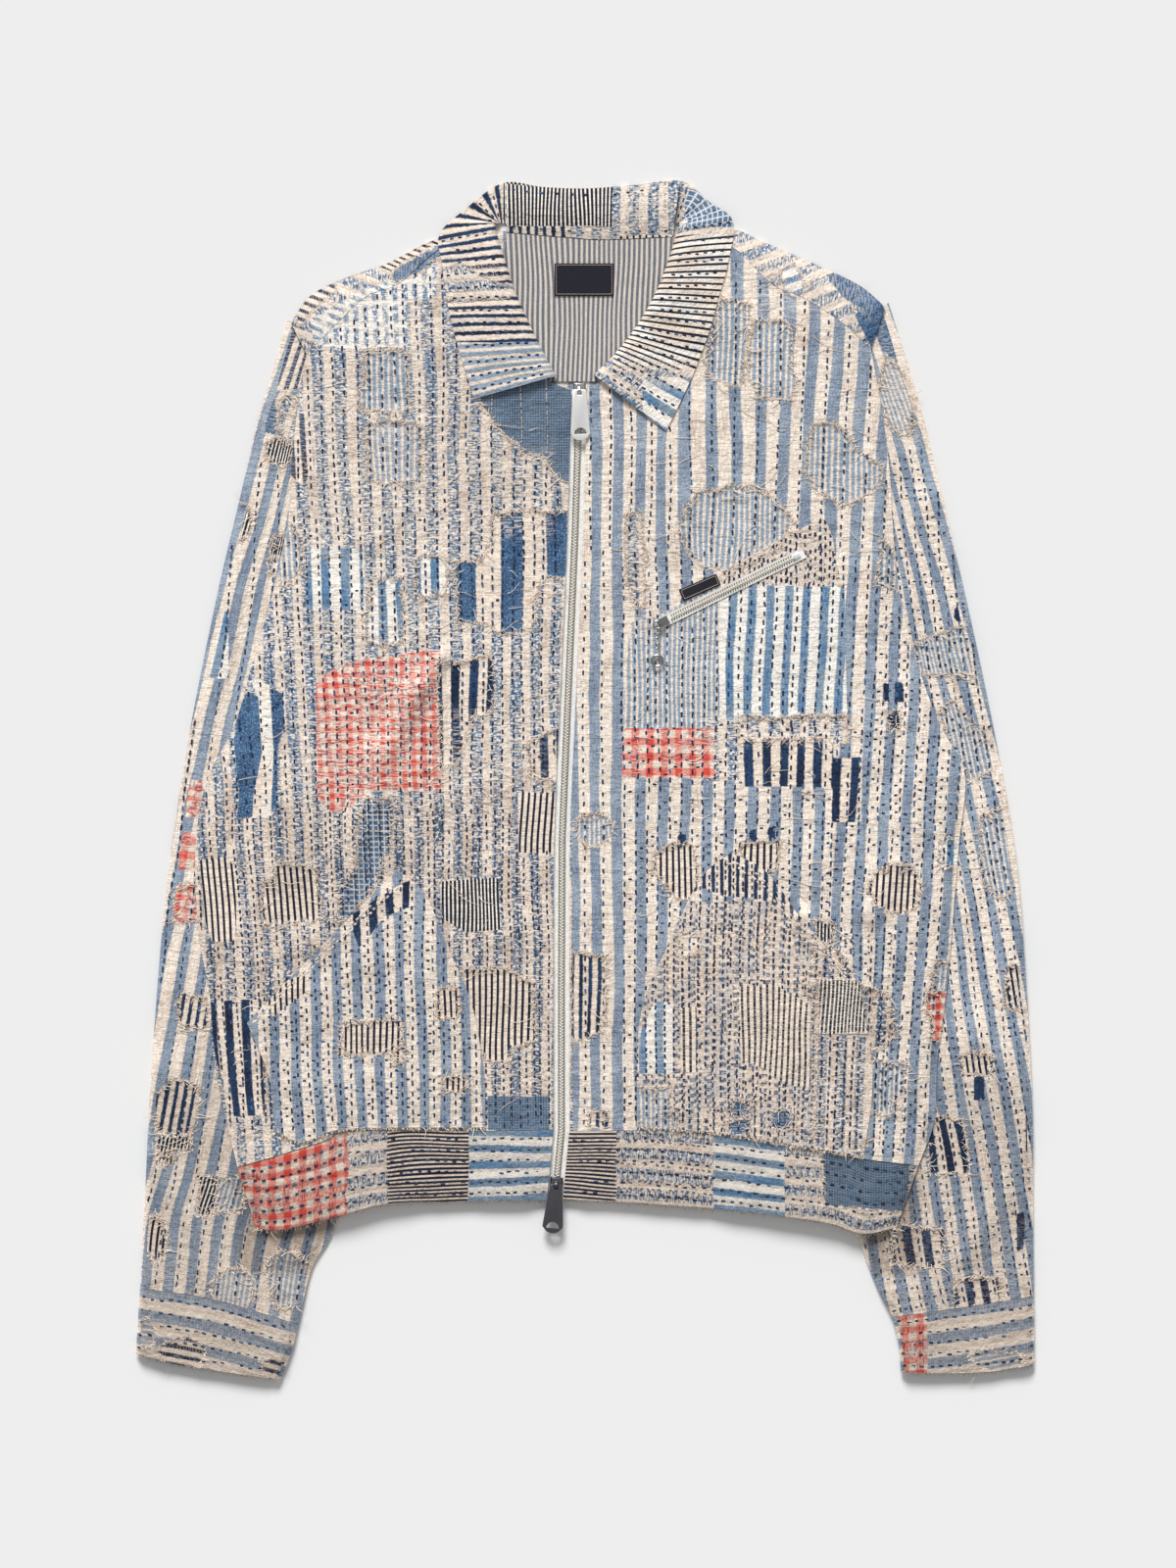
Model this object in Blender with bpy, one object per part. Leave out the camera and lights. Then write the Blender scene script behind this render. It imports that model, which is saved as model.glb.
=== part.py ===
"""A patched zip jacket of layered indigo cotton, lying flat and face up.

Metres, +Z up. The jacket rests on z = 0, and the origin is under the middle of its box.
+Y runs from the hem to the collar, and -X is the wearer's right. Both sleeves hang
straight down and are tucked under the sides of the body, so the layers, from the
surface up, are: sleeves, back, fronts, then the pockets, the zip and the collar.
"""

import math

import bmesh
import bpy

# Driving sizes.
CLOTH = 0.0016  # one wall of layered, stitched cotton
SEAM = 0.0003  # gap between pieces that touch
LINING = 0.0008  # lining, woven label and tab
TAPE = 0.0009  # zip tape
SLEEVE_GAP = 0.0004  # room between the two walls of a flat sleeve
SLEEVE_PUFF = 0.0022  # how far the sleeve's upper wall stands up where nothing lies on it
PUFF_START, PUFF_REACH = 0.028, 0.020  # distances from the body where it starts and is full
FRONT_PUFF = 0.0012  # how far the fronts stand off the back, away from the side folds
FRONT_PUFF_REACH = 0.060  # distance from a side fold at which they do
TUCK_FLAT = 0.020  # the body is fully raised this far past the sleeve under it
TUCK_RAMP = 0.080  # and comes down to the surface over this distance
POCKET_LIFT = 0.0004  # slack of a patch pocket over the front
ZIP_OPEN = 0.0055  # half the width of the zip that shows between the fronts
TAPE_REACH = 0.0140  # half the width over both tapes
CHAIN_HALF = 0.0031  # half the width of a size 5 chain
CHAIN_THICK = 0.0024

SLEEVE_FLAT = 2 * CLOTH + SLEEVE_GAP
BODY_OVER_SLEEVE = SLEEVE_FLAT + SEAM

# Edges of the body, each read from the hem up or from the wearer's right to the left.
SIDE_RIGHT = [
    (-0.241, -0.268), (-0.248, -0.239), (-0.258, -0.188), (-0.260, -0.150),
    (-0.268, -0.105), (-0.270, -0.045), (-0.262, 0.000), (-0.243, 0.038),
    (-0.231, 0.080), (-0.217, 0.128), (-0.206, 0.180), (-0.203, 0.226),
    (-0.197, 0.275), (-0.193, 0.295),
]
SIDE_LEFT = [
    (0.231, -0.267), (0.242, -0.236), (0.244, -0.195), (0.250, -0.150),
    (0.255, -0.095), (0.259, -0.045), (0.263, 0.005), (0.245, 0.040),
    (0.229, 0.085), (0.218, 0.130), (0.213, 0.180), (0.211, 0.215),
    (0.206, 0.255), (0.198, 0.299),
]
SHOULDER_RIGHT = [(-0.204, 0.317), (-0.190, 0.336), (-0.164, 0.349), (-0.138, 0.358),
                  (-0.101, 0.376), (-0.062, 0.381)]
SHOULDER_LEFT = [(0.066, 0.380), (0.102, 0.382), (0.122, 0.374), (0.161, 0.357),
                 (0.190, 0.343), (0.208, 0.328)]
NECK_BACK = [(-0.062, 0.381), (-0.012, 0.379), (0.014, 0.378), (0.066, 0.380)]
YOKE_RIGHT = [(-0.193, 0.295), (-0.173, 0.315), (-0.151, 0.335), (-0.129, 0.344),
              (-0.101, 0.368), (-0.078, 0.373)]
YOKE_LEFT = [(0.082, 0.374), (0.104, 0.368), (0.130, 0.343), (0.151, 0.334),
             (0.176, 0.318), (0.198, 0.299)]
NECKLINE_RIGHT = [(-0.078, 0.373), (-0.070, 0.352), (-0.057, 0.325), (-0.042, 0.298),
                  (-0.028, 0.279), (-0.0095, 0.270)]
NECKLINE_LEFT = [(0.082, 0.374), (0.071, 0.352), (0.056, 0.325), (0.037, 0.302),
                 (0.020, 0.284), (0.0015, 0.270)]
BAND_SEAM_RIGHT = [(-0.241, -0.268), (-0.213, -0.260), (-0.181, -0.250),
                   (-0.160, -0.243), (-0.071, -0.243), (-0.0215, -0.242)]
BAND_SEAM_LEFT = [(-0.0105, -0.243), (0.058, -0.243), (0.089, -0.246),
                  (0.164, -0.258), (0.190, -0.262), (0.231, -0.267)]
HEM_RIGHT = [(-0.228, -0.311), (-0.208, -0.311), (-0.172, -0.302), (-0.135, -0.293),
             (-0.084, -0.292), (-0.0265, -0.291)]
HEM_LEFT = [(-0.0155, -0.291), (0.021, -0.292), (0.089, -0.297), (0.137, -0.302),
            (0.170, -0.307), (0.192, -0.314), (0.216, -0.310)]
ZIP_LINE = [(-0.021, -0.291), (-0.0165, -0.243), (-0.0165, -0.140), (-0.016, -0.040),
            (-0.0115, 0.067), (-0.007, 0.172), (-0.0040, 0.270)]

# Sleeves: outer and inner edges from the cuff seam up, the head under the armhole.
SLEEVE_RIGHT = {
    "cuff seam": [(-0.3085, -0.352), (-0.272, -0.357), (-0.245, -0.363), (-0.199, -0.377)],
    "outer": [(-0.3085, -0.352), (-0.305, -0.284), (-0.301, -0.206), (-0.2915, -0.086),
              (-0.276, 0.023), (-0.257, 0.120), (-0.240, 0.193), (-0.227, 0.250),
              (-0.219, 0.276), (-0.2065, 0.319)],
    "inner": [(-0.199, -0.377), (-0.189, -0.337), (-0.171, -0.304), (-0.152, -0.220),
              (-0.138, -0.120), (-0.132, -0.020), (-0.138, 0.060), (-0.152, 0.120)],
    "head": [(-0.2065, 0.319), (-0.192, 0.312), (-0.186, 0.285), (-0.186, 0.240),
             (-0.180, 0.190), (-0.152, 0.120)],
    "cuff end": [(-0.3115, -0.397), (-0.288, -0.404), (-0.250, -0.410), (-0.211, -0.4155)],
    "cuff outer": [(-0.3085, -0.352), (-0.3115, -0.397)],
    "cuff inner": [(-0.199, -0.377), (-0.203, -0.394), (-0.211, -0.4155)],
}
SLEEVE_LEFT = {
    "cuff seam": [(0.311, -0.3575), (0.284, -0.362), (0.257, -0.366), (0.213, -0.372)],
    "outer": [(0.311, -0.3575), (0.3105, -0.290), (0.310, -0.225), (0.305, -0.129),
              (0.297, -0.040), (0.280, 0.052), (0.260, 0.144), (0.244, 0.213),
              (0.230, 0.268), (0.2105, 0.331)],
    "inner": [(0.213, -0.372), (0.199, -0.343), (0.186, -0.304), (0.162, -0.220),
              (0.146, -0.120), (0.140, -0.020), (0.146, 0.060), (0.160, 0.120)],
    "head": [(0.2105, 0.331), (0.197, 0.323), (0.190, 0.297), (0.193, 0.245),
             (0.188, 0.190), (0.160, 0.120)],
    "cuff end": [(0.3115, -0.4055), (0.278, -0.410), (0.246, -0.411), (0.219, -0.410)],
    "cuff outer": [(0.311, -0.3575), (0.3115, -0.4055)],
    "cuff inner": [(0.213, -0.372), (0.217, -0.388), (0.219, -0.410)],
}

# Hand pockets: foot along the waistband, inner edge, slanted opening, outer edge.
POCKET_RIGHT = {
    "foot": [(-0.214, -0.243), (-0.195, -0.2505), (-0.165, -0.2415), (-0.069, -0.2405)],
    "outer": [(-0.214, -0.243), (-0.219, -0.205), (-0.234, -0.168)],
    "opening": [(-0.234, -0.168), (-0.180, -0.112), (-0.130, -0.062)],
    "inner": [(-0.069, -0.2405), (-0.070, -0.205), (-0.078, -0.157), (-0.094, -0.118),
              (-0.111, -0.079), (-0.130, -0.062)],
}
POCKET_LEFT = {
    "foot": [(0.036, -0.2405), (0.090, -0.2440), (0.150, -0.2535), (0.193, -0.2600)],
    "outer": [(0.193, -0.2600), (0.199, -0.205), (0.190, -0.141)],
    "opening": [(0.101, -0.050), (0.126, -0.064), (0.150, -0.096), (0.190, -0.141)],
    "inner": [(0.036, -0.2405), (0.038, -0.165), (0.060, -0.108), (0.081, -0.067),
              (0.101, -0.050)],
}

# The collar fall, a ribbon from the wearer's right tip round the back to the left tip.
COLLAR_COLUMNS = ("inner_x", "inner_y", "outer_x", "outer_y", "lies")
COLLAR_FALL = [
    (-0.020, 0.280, -0.077, 0.264, "front"),
    (-0.026, 0.291, -0.083, 0.284, "front"),
    (-0.037, 0.313, -0.091, 0.311, "front"),
    (-0.047, 0.335, -0.096, 0.334, "front"),
    (-0.055, 0.359, -0.099, 0.357, "front"),
    (-0.062, 0.383, -0.101, 0.378, "front"),
    (-0.060, 0.386, -0.083, 0.396, "turn"),
    (-0.056, 0.386, -0.057, 0.4142, "under"),
    (-0.030, 0.385, -0.030, 0.4115, "under"),
    (0.000, 0.384, 0.000, 0.4105, "under"),
    (0.034, 0.384, 0.036, 0.4130, "under"),
    (0.061, 0.386, 0.067, 0.4155, "under"),
    (0.065, 0.387, 0.086, 0.401, "turn"),
    (0.064, 0.381, 0.1025, 0.387, "front"),
    (0.056, 0.356, 0.099, 0.358, "front"),
    (0.048, 0.336, 0.093, 0.336, "front"),
    (0.037, 0.317, 0.086, 0.311, "front"),
    (0.026, 0.302, 0.076, 0.284, "front"),
    (0.015, 0.290, 0.066, 0.262, "front"),
    (0.006, 0.281, 0.056, 0.242, "front"),
]
# Across the fall: share of its width from the roll line, and height over what it lies on.
# The roll line itself comes down to the lining.
ROLL_COLUMNS = ("share", "height")
ROLL = [(0.00, -0.0030), (0.06, 0.0026), (0.35, 0.0030), (0.70, 0.0012), (1.00, 0.0)]
TURN_HEIGHT = 0.0026
STAND_TOP = [(-0.0545, 0.4137), (-0.030, 0.4112), (0.000, 0.4102), (0.034, 0.4127),
             (0.0655, 0.4150)]
STAND_SEAM = [(-0.0545, 0.3800), (-0.012, 0.3765), (0.014, 0.3750), (0.0610, 0.3770)]
STAND_PUFF = 0.0030
LINING_FOOT = [(-0.044, 0.2765), (-0.004, 0.2765), (0.038, 0.2765)]
LINING_RIGHT = [(-0.044, 0.2765), (-0.062, 0.310), (-0.0545, 0.3790)]
LINING_LEFT = [(0.038, 0.2765), (0.060, 0.310), (0.0610, 0.3760)]

# Main folds of the fronts and the sleeves, as soft ridges.
FOLD_COLUMNS = ("start_x", "start_y", "end_x", "end_y", "half_width", "height")
FRONT_FOLDS = [
    (-0.106, 0.080, -0.160, -0.050, 0.018, 0.0016),
    (-0.200, 0.150, -0.120, 0.060, 0.022, 0.0012),
    (0.200, 0.060, 0.110, -0.020, 0.024, 0.0012),
    (0.060, 0.220, 0.040, 0.150, 0.022, 0.0010),
]
SLEEVE_FOLDS = [
    (-0.268, 0.080, -0.288, -0.090, 0.014, 0.0012),
    (-0.292, -0.180, -0.270, -0.300, 0.014, 0.0012),
    (0.262, 0.100, 0.290, -0.080, 0.014, 0.0012),
    (0.296, -0.180, 0.275, -0.310, 0.014, 0.0012),
]

# Label, tab and chest zip.
LABEL_CENTRE, LABEL_SIZE = (-0.0007, 0.347), (0.041, 0.0225)
TAB_CENTRE, TAB_SIZE, TAB_TILT = (0.0795, 0.1335), (0.028, 0.0085), 23.5
CHEST_ZIP = [(0.0495, 0.1075), (0.1515, 0.1575)]
CHEST_TAPE_HALF, CHEST_CHAIN_HALF, CHEST_CHAIN_THICK = 0.0038, 0.0017, 0.0010

# Grid of each piece: cells across and cells along.
FRONT_CELLS, NECKLINE_CELLS, BACK_CELLS = (10, 19), 5, (20, 22)
SLEEVE_CELLS, CUFF_CELLS, BAND_ROWS = (6, 16), (6, 2), 2
POCKET_CELLS, STAND_CELLS, LINING_CELLS, ZIP_CELLS = (6, 8), (6, 3), (6, 6), 20

# Sliders and pulls.
SLIDER_SIZE, CHEST_SLIDER_SIZE = (0.0086, 0.0106, 0.0034), (0.0060, 0.0080, 0.0022)
TOP_SLIDER_Y, LOW_SLIDER_Y = 0.2700, -0.2805
CHEST_SLIDER_ALONG = 0.0050  # from the lower end of the chest zip
CHEST_ARCH_BACK = 0.0020  # its arch is this far towards that end
ARCH_INNER, ARCH_OUTER, ARCH_WIDTH = 0.0013, 0.0022, 0.0020
AXIS_OVER_SLIDER = 0.0012
PULL_THICK = 0.0014
PULL_TURN = {"top": 1.5, "bottom": -5.0}  # degrees about +Z
SLOT_WIDTH, SLOT_NEAR, SLOT_FAR = 0.0029, 0.0006, 0.0033
PULL_COLUMNS = ("half_width", "below_axis")
TOP_PULL = [(0.0044, -0.0006), (0.0049, 0.0030), (0.0057, 0.0150), (0.0066, 0.0265),
            (0.0068, 0.0298), (0.0050, 0.0328), (0.0020, 0.0346)]
LOW_PULL = [(0.0040, -0.0006), (0.0044, 0.0030), (0.0058, 0.0150), (0.0069, 0.0260),
            (0.0071, 0.0292), (0.0040, 0.0325), (0.0014, 0.0335)]
PULL_HOLE = {"radius": 0.0043, "top": 0.0302, "bottom": 0.0300}  # its flat side, below the axis
EYE_RADIUS, EYE_WIRE = 0.0026, 0.0005
LINK_RADIUS, LINK_WIRE, LINK_SAG = 0.0017, 0.0004, 0.0006
CHEST_LINK_PITCH, CHEST_LINKS, BEAD_RADIUS, BEAD_NECK = 0.0036, 4, 0.0012, 0.0004
RING_RADIUS, RING_WIRE = 0.0038, 0.0008

# Plain colours and finishes: red, green, blue, roughness, metallic.
FINISHES = {
    "striped cotton": (0.55, 0.58, 0.60, 0.9, 0.0),
    "boro cotton": (0.45, 0.52, 0.60, 0.9, 0.0),
    "ticking lining": (0.40, 0.43, 0.47, 0.9, 0.0),
    "white tape": (0.82, 0.80, 0.76, 0.8, 0.0),
    "black woven label": (0.02, 0.02, 0.025, 0.8, 0.0),
    "pale brass": (0.70, 0.64, 0.50, 0.35, 1.0),
    "nickel": (0.75, 0.75, 0.74, 0.25, 1.0),
    "gunmetal": (0.10, 0.10, 0.11, 0.35, 1.0),
}


def clear_scene():
    for old in list(bpy.data.objects):
        bpy.data.objects.remove(old, do_unlink=True)


def finish(name):
    """The material of this name, made once."""
    if name in bpy.data.materials:
        return bpy.data.materials[name]
    red, green, blue, roughness, metallic = FINISHES[name]
    material = bpy.data.materials.new(name)
    material.use_nodes = True
    shader = material.node_tree.nodes["Principled BSDF"]
    shader.inputs["Base Color"].default_value = (red, green, blue, 1.0)
    shader.inputs["Roughness"].default_value = roughness
    shader.inputs["Metallic"].default_value = metallic
    return material


def add_object(name, data, material):
    piece = bpy.data.objects.new(name, data)
    bpy.context.scene.collection.objects.link(piece)
    data.materials.append(finish(material))
    return piece


def add_mesh(name, points, faces, material):
    """A closed solid from points and faces, with its faces turned outwards."""
    shape = bmesh.new()
    corners = [shape.verts.new(point) for point in points]
    for face in faces:
        shape.faces.new([corners[index] for index in face])
    bmesh.ops.recalc_face_normals(shape, faces=shape.faces)
    mesh = bpy.data.meshes.new(name)
    shape.to_mesh(mesh)
    shape.free()
    return add_object(name, mesh, material)


# Plan curves and distances.


def smooth(share):
    """0 to 1 with level ends."""
    share = min(max(share, 0.0), 1.0)
    return share * share * (3.0 - 2.0 * share)


def lengths(points):
    total = [0.0]
    for start, end in zip(points, points[1:]):
        total.append(total[-1] + math.dist(start, end))
    return total


def spaced(points, count):
    """count + 1 places along the line through the points, evenly by length."""
    total = lengths(points)
    places = []
    for step in range(count + 1):
        goal = total[-1] * step / count
        at = next(i for i in range(1, len(total)) if goal <= total[i] + 1e-12)
        share = (goal - total[at - 1]) / (total[at] - total[at - 1])
        (x0, y0), (x1, y1) = points[at - 1], points[at]
        places.append((x0 + (x1 - x0) * share, y0 + (y1 - y0) * share))
    return places


def patch(foot, top, right, left):
    """Rows of places that fill the four edges, each a list of places."""
    across, along = len(foot) - 1, len(right) - 1
    rows = []
    for row in range(along + 1):
        v = row / along
        places = []
        for column in range(across + 1):
            u = column / across
            place = []
            for axis in (0, 1):
                edges = (1 - v) * foot[column][axis] + v * top[column][axis]
                edges += (1 - u) * right[row][axis] + u * left[row][axis]
                corners = (1 - u) * (1 - v) * foot[0][axis] + u * (1 - v) * foot[-1][axis]
                corners += (1 - u) * v * top[0][axis] + u * v * top[-1][axis]
                place.append(edges - corners)
            places.append(tuple(place))
        rows.append(places)
    return rows


def shifted(points, dx=0.0, dy=0.0):
    return [(x + dx, y + dy) for x, y in points]


def off_line(x, y, points):
    """Distance in plan from a line through the points."""
    best = math.inf
    for (x0, y0), (x1, y1) in zip(points, points[1:]):
        run, rise = x1 - x0, y1 - y0
        share = ((x - x0) * run + (y - y0) * rise) / (run * run + rise * rise)
        share = min(max(share, 0.0), 1.0)
        best = min(best, math.hypot(x - x0 - share * run, y - y0 - share * rise))
    return best


def inside(x, y, outline):
    """Whether the place is inside the closed outline."""
    odd = False
    for (x0, y0), (x1, y1) in zip(outline, outline[1:] + outline[:1]):
        if (y0 > y) != (y1 > y) and x < x0 + (x1 - x0) * (y - y0) / (y1 - y0):
            odd = not odd
    return odd


def sleeve_outline(edges):
    return edges["outer"] + edges["head"][1:-1] + edges["inner"][::-1]


SLEEVE_OUTLINES = [sleeve_outline(SLEEVE_RIGHT), sleeve_outline(SLEEVE_LEFT)]
BODY_SIDES = [HEM_RIGHT[:1] + SIDE_RIGHT + SHOULDER_RIGHT,
              HEM_LEFT[-1:] + SIDE_LEFT + SHOULDER_LEFT[::-1]]
BODY_OUTLINE = BODY_SIDES[0] + BODY_SIDES[1][::-1] + HEM_LEFT[-2::-1] + HEM_RIGHT[:0:-1]


def ridges(x, y, table):
    """Height of the soft folds in a table at this place."""
    height = 0.0
    for start_x, start_y, end_x, end_y, half_width, top in table:
        off = off_line(x, y, [(start_x, start_y), (end_x, end_y)])
        height += top * math.exp(-((off / half_width) ** 2))
    return height


# Heights of the layers. "low" is a piece's underside, "top" its upper side.


def back_low(x, y):
    """The back lies on the surface, and on the sleeves where they are tucked under."""
    raised = 0.0
    for outline in SLEEVE_OUTLINES:
        off = 0.0 if inside(x, y, outline) else off_line(x, y, outline + outline[:1])
        raised = max(raised, 1.0 - smooth((off - TUCK_FLAT) / TUCK_RAMP))
    return BODY_OVER_SLEEVE * raised


def back_top(x, y):
    return back_low(x, y) + CLOTH


def front_low(x, y):
    """The fronts meet the back at the side folds, and stand off it elsewhere."""
    off = min(off_line(x, y, side) for side in BODY_SIDES)
    puff = FRONT_PUFF * smooth(off / FRONT_PUFF_REACH)
    return back_top(x, y) + SEAM + puff + ridges(x, y, FRONT_FOLDS) * smooth(off / 0.03)


def front_top(x, y):
    return front_low(x, y) + CLOTH


def lining_top(x, y):
    return back_top(x, y) + SEAM + LINING


def sleeve_top(x, y):
    """Flat under the body, and puffed a little beside it."""
    if inside(x, y, BODY_OUTLINE):
        return SLEEVE_FLAT
    off = off_line(x, y, BODY_OUTLINE + BODY_OUTLINE[:1])
    beside = smooth((off - PUFF_START) / PUFF_REACH)
    return SLEEVE_FLAT + beside * (SLEEVE_PUFF + ridges(x, y, SLEEVE_FOLDS))


def over(low, lift=SEAM):
    """The underside of what lies on a piece with this upper side."""
    return lambda x, y: low(x, y) + lift


# Solids.


def sheet(name, rows, low, thick, material):
    """A closed sheet over rows of places, with its underside at low(x, y)."""
    across, along = len(rows[0]), len(rows)
    points = [(x, y, low(x, y)) for row in rows for x, y in row]
    points += [(x, y, z + thick) for x, y, z in points]
    size = across * along
    faces = []
    for row in range(along - 1):
        for column in range(across - 1):
            at = row * across + column
            cell = (at, at + 1, at + across + 1, at + across)
            faces.append(cell[::-1])
            faces.append(tuple(size + index for index in cell))
    rim = list(range(across))
    rim += [row * across + across - 1 for row in range(1, along)]
    rim += [size - 1 - column for column in range(1, across)]
    rim += [row * across for row in range(along - 2, 0, -1)]
    for start, end in zip(rim, rim[1:] + rim[:1]):
        faces.append((start, end, size + end, size + start))
    return add_mesh(name, points, faces, material)


def tube_section(places, top, wall):
    """Outer and inner loops of a flat tube's section: lower wall, far fold, upper wall, near fold."""
    last = len(places) - 1
    ends = {0: 1, last: last - 1}

    def moved(column, by):
        """A place moved in from an end of the section."""
        x, y = places[column]
        if column not in ends:
            return x, y
        toward = places[ends[column]]
        share = by / math.dist((x, y), toward)
        return x + (toward[0] - x) * share, y + (toward[1] - y) * share

    def loop(inset, side_inset, raise_low, drop_top):
        points = []
        for column in range(last + 1):
            points.append((*moved(column, inset), raise_low))
        middle = top(*places[last]) / 2
        points.append((*moved(last, side_inset), middle))
        for column in range(last, -1, -1):
            x, y = moved(column, inset)
            points.append((x, y, top(*places[column]) - drop_top))
        middle = top(*places[0]) / 2
        points.append((*moved(0, side_inset), middle))
        return points

    return loop(0.6 * wall, 0.0, 0.0, 0.0), loop(1.8 * wall, wall, wall, wall)


def tube(name, rows, top, wall, material):
    """A flattened tube of cloth, open at both ends."""
    points, faces = [], []
    for places in rows:
        outer, inner = tube_section(places, top, wall)
        points += outer + inner
    around = len(outer)
    for row in range(len(rows)):
        start = row * 2 * around
        for at in range(around):
            after = (at + 1) % around
            if row in (0, len(rows) - 1):
                faces.append((start + at, start + after,
                              start + around + after, start + around + at))
            if row < len(rows) - 1:
                above = start + 2 * around
                faces.append((start + at, start + after, above + after, above + at))
                faces.append((start + around + at, start + around + after,
                              above + around + after, above + around + at))
    return add_mesh(name, points, faces, material)


def strip(name, line, half_low, half_high, low, thick, material, cells=ZIP_CELLS):
    """A narrow sheet along a line, between two distances to its left side."""
    places = spaced(line, cells)
    rows = []
    for at, (x, y) in enumerate(places):
        (x0, y0), (x1, y1) = places[max(at - 1, 0)], places[min(at + 1, cells)]
        run, rise, length = x1 - x0, y1 - y0, math.dist((x0, y0), (x1, y1))
        rows.append([(x - rise / length * half, y + run / length * half)
                     for half in (half_low, half_high)])
    return sheet(name, rows, low, thick, material)


# Cloth pieces.


def build_back():
    foot = spaced(BAND_SEAM_RIGHT, BACK_CELLS[0] // 2)
    foot += spaced(BAND_SEAM_LEFT, BACK_CELLS[0] // 2 - 1)
    top = spaced(SHOULDER_RIGHT, 7) + spaced(NECK_BACK, 6)[1:] + spaced(SHOULDER_LEFT, 7)[1:]
    right = spaced(SIDE_RIGHT + SHOULDER_RIGHT[:1], BACK_CELLS[1])
    left = spaced(SIDE_LEFT + SHOULDER_LEFT[-1:], BACK_CELLS[1])
    sheet("back", patch(foot, top, right, left), back_low, CLOTH, "striped cotton")
    hem = spaced(HEM_RIGHT, BACK_CELLS[0] // 2) + spaced(HEM_LEFT, BACK_CELLS[0] // 2 - 1)
    seam = shifted(foot, dy=-SEAM)
    ends = spaced([hem[0], seam[0]], BAND_ROWS), spaced([hem[-1], seam[-1]], BAND_ROWS)
    sheet("band_back", patch(hem, seam, *ends), back_low, CLOTH, "boro cotton")


def build_front(side, seam, shoulder, neckline, edge, hem, zip_side):
    """One front with its stretch of waistband. zip_side is 1 where the zip is at its left."""
    across, along = FRONT_CELLS
    zip_edge = shifted(ZIP_LINE[1:], dx=-zip_side * ZIP_OPEN)
    zip_edge = spaced([zip_edge[0]] + zip_edge[1:-1] + [neckline[-1]], along)
    inner = zip_edge + spaced(neckline[::-1], NECKLINE_CELLS)[1:]
    outer = spaced(edge, along + NECKLINE_CELLS)
    foot, top = spaced(seam, across), spaced(shoulder, across)
    edges = (outer, inner) if zip_side > 0 else (inner, outer)
    foot[-1 if zip_side > 0 else 0] = zip_edge[0]
    sheet("front_" + side, patch(foot, top, *edges), front_low, CLOTH, "striped cotton")
    seam_below = shifted(foot, dy=-SEAM)
    hem = spaced(hem, across)
    ends = spaced([hem[0], seam_below[0]], BAND_ROWS), spaced([hem[-1], seam_below[-1]], BAND_ROWS)
    sheet("band_" + side, patch(hem, seam_below, *ends), front_low, CLOTH, "boro cotton")


def build_yoke(side, seam, shoulder, cells=(10, 2)):
    """The strip of the back that rolls over the shoulder to the front seam."""
    foot = shifted(spaced(seam, cells[0]), dy=SEAM)
    top = spaced(shoulder, cells[0])
    ends = spaced([foot[0], top[0]], cells[1]), spaced([foot[-1], top[-1]], cells[1])
    sheet("yoke_" + side, patch(foot, top, *ends), front_low, CLOTH, "striped cotton")


def build_sleeve(side, edges):
    across, along = SLEEVE_CELLS
    seam = spaced(edges["cuff seam"], across)
    rows = patch(seam, spaced(edges["head"], across),
                 spaced(edges["outer"], along), spaced(edges["inner"], along))
    tube("sleeve_" + side, rows, sleeve_top, CLOTH, "striped cotton")
    across, along = CUFF_CELLS
    seam = shifted(seam, dy=-SEAM)
    outer = [seam[0]] + spaced(edges["cuff outer"], along)[1:]
    inner = [seam[-1]] + spaced(edges["cuff inner"], along)[1:]
    rows = patch(seam, spaced(edges["cuff end"], across), outer, inner)
    tube("cuff_" + side, rows, sleeve_top, CLOTH, "boro cotton")


def build_hand_pocket(side, edges):
    across, along = POCKET_CELLS
    slack = SEAM + POCKET_LIFT
    if side == "right":
        foot, opening = edges["foot"], edges["opening"]
        first, last = edges["outer"], edges["inner"]
    else:
        foot, opening = edges["foot"], edges["opening"]
        first, last = edges["inner"], edges["outer"]
    rows = patch(spaced(foot, across), spaced(opening, across),
                 spaced(first, along), spaced(last, along))
    sheet("hand_pocket_" + side, rows, over(front_top, slack), CLOTH, "striped cotton")


def build_collar():
    """The fall, folded open over the fronts, and the stand behind the neck."""
    rows, heights = [], {}
    for inner_x, inner_y, outer_x, outer_y, lies in COLLAR_FALL:
        row = []
        for share, height in ROLL:
            x = inner_x + (outer_x - inner_x) * share
            y = inner_y + (outer_y - inner_y) * share
            on_front = max(front_top(x, y) + SEAM + height, lining_top(x, y) + SEAM)
            rest = {"front": on_front, "turn": TURN_HEIGHT, "under": 0.0}[lies]
            row.append((x, y))
            heights[x, y] = rest
        rows.append(row)
    sheet("collar_fall", rows, lambda x, y: heights[x, y], CLOTH, "boro cotton")

    across, along = STAND_CELLS
    foot, top = spaced(STAND_SEAM, across), spaced(STAND_TOP, across)
    ends = spaced([foot[0], top[0]], along), spaced([foot[-1], top[-1]], along)
    rows = patch(foot, top, *ends)
    share = {place: at / along for at, row in enumerate(rows) for place in row}

    def stand_low(x, y):
        return CLOTH + SEAM + STAND_PUFF * math.sin(math.pi * share[x, y])

    sheet("collar_stand", rows, stand_low, CLOTH, "boro cotton")


def build_lining():
    """The lining of the back, as far as the open neck shows it, and a bare label."""
    across, along = LINING_CELLS
    top = shifted(spaced(STAND_SEAM, across), dy=-2 * SEAM)
    right = spaced(LINING_RIGHT[:-1] + [top[0]], along)
    left = spaced(LINING_LEFT[:-1] + [top[-1]], along)
    rows = patch(spaced(LINING_FOOT, across), top, right, left)
    sheet("back_lining", rows, over(back_top), LINING, "ticking lining")
    flat_piece("neck_label", LABEL_CENTRE, LABEL_SIZE, 0.0, over(lining_top),
               "black woven label")


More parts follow.
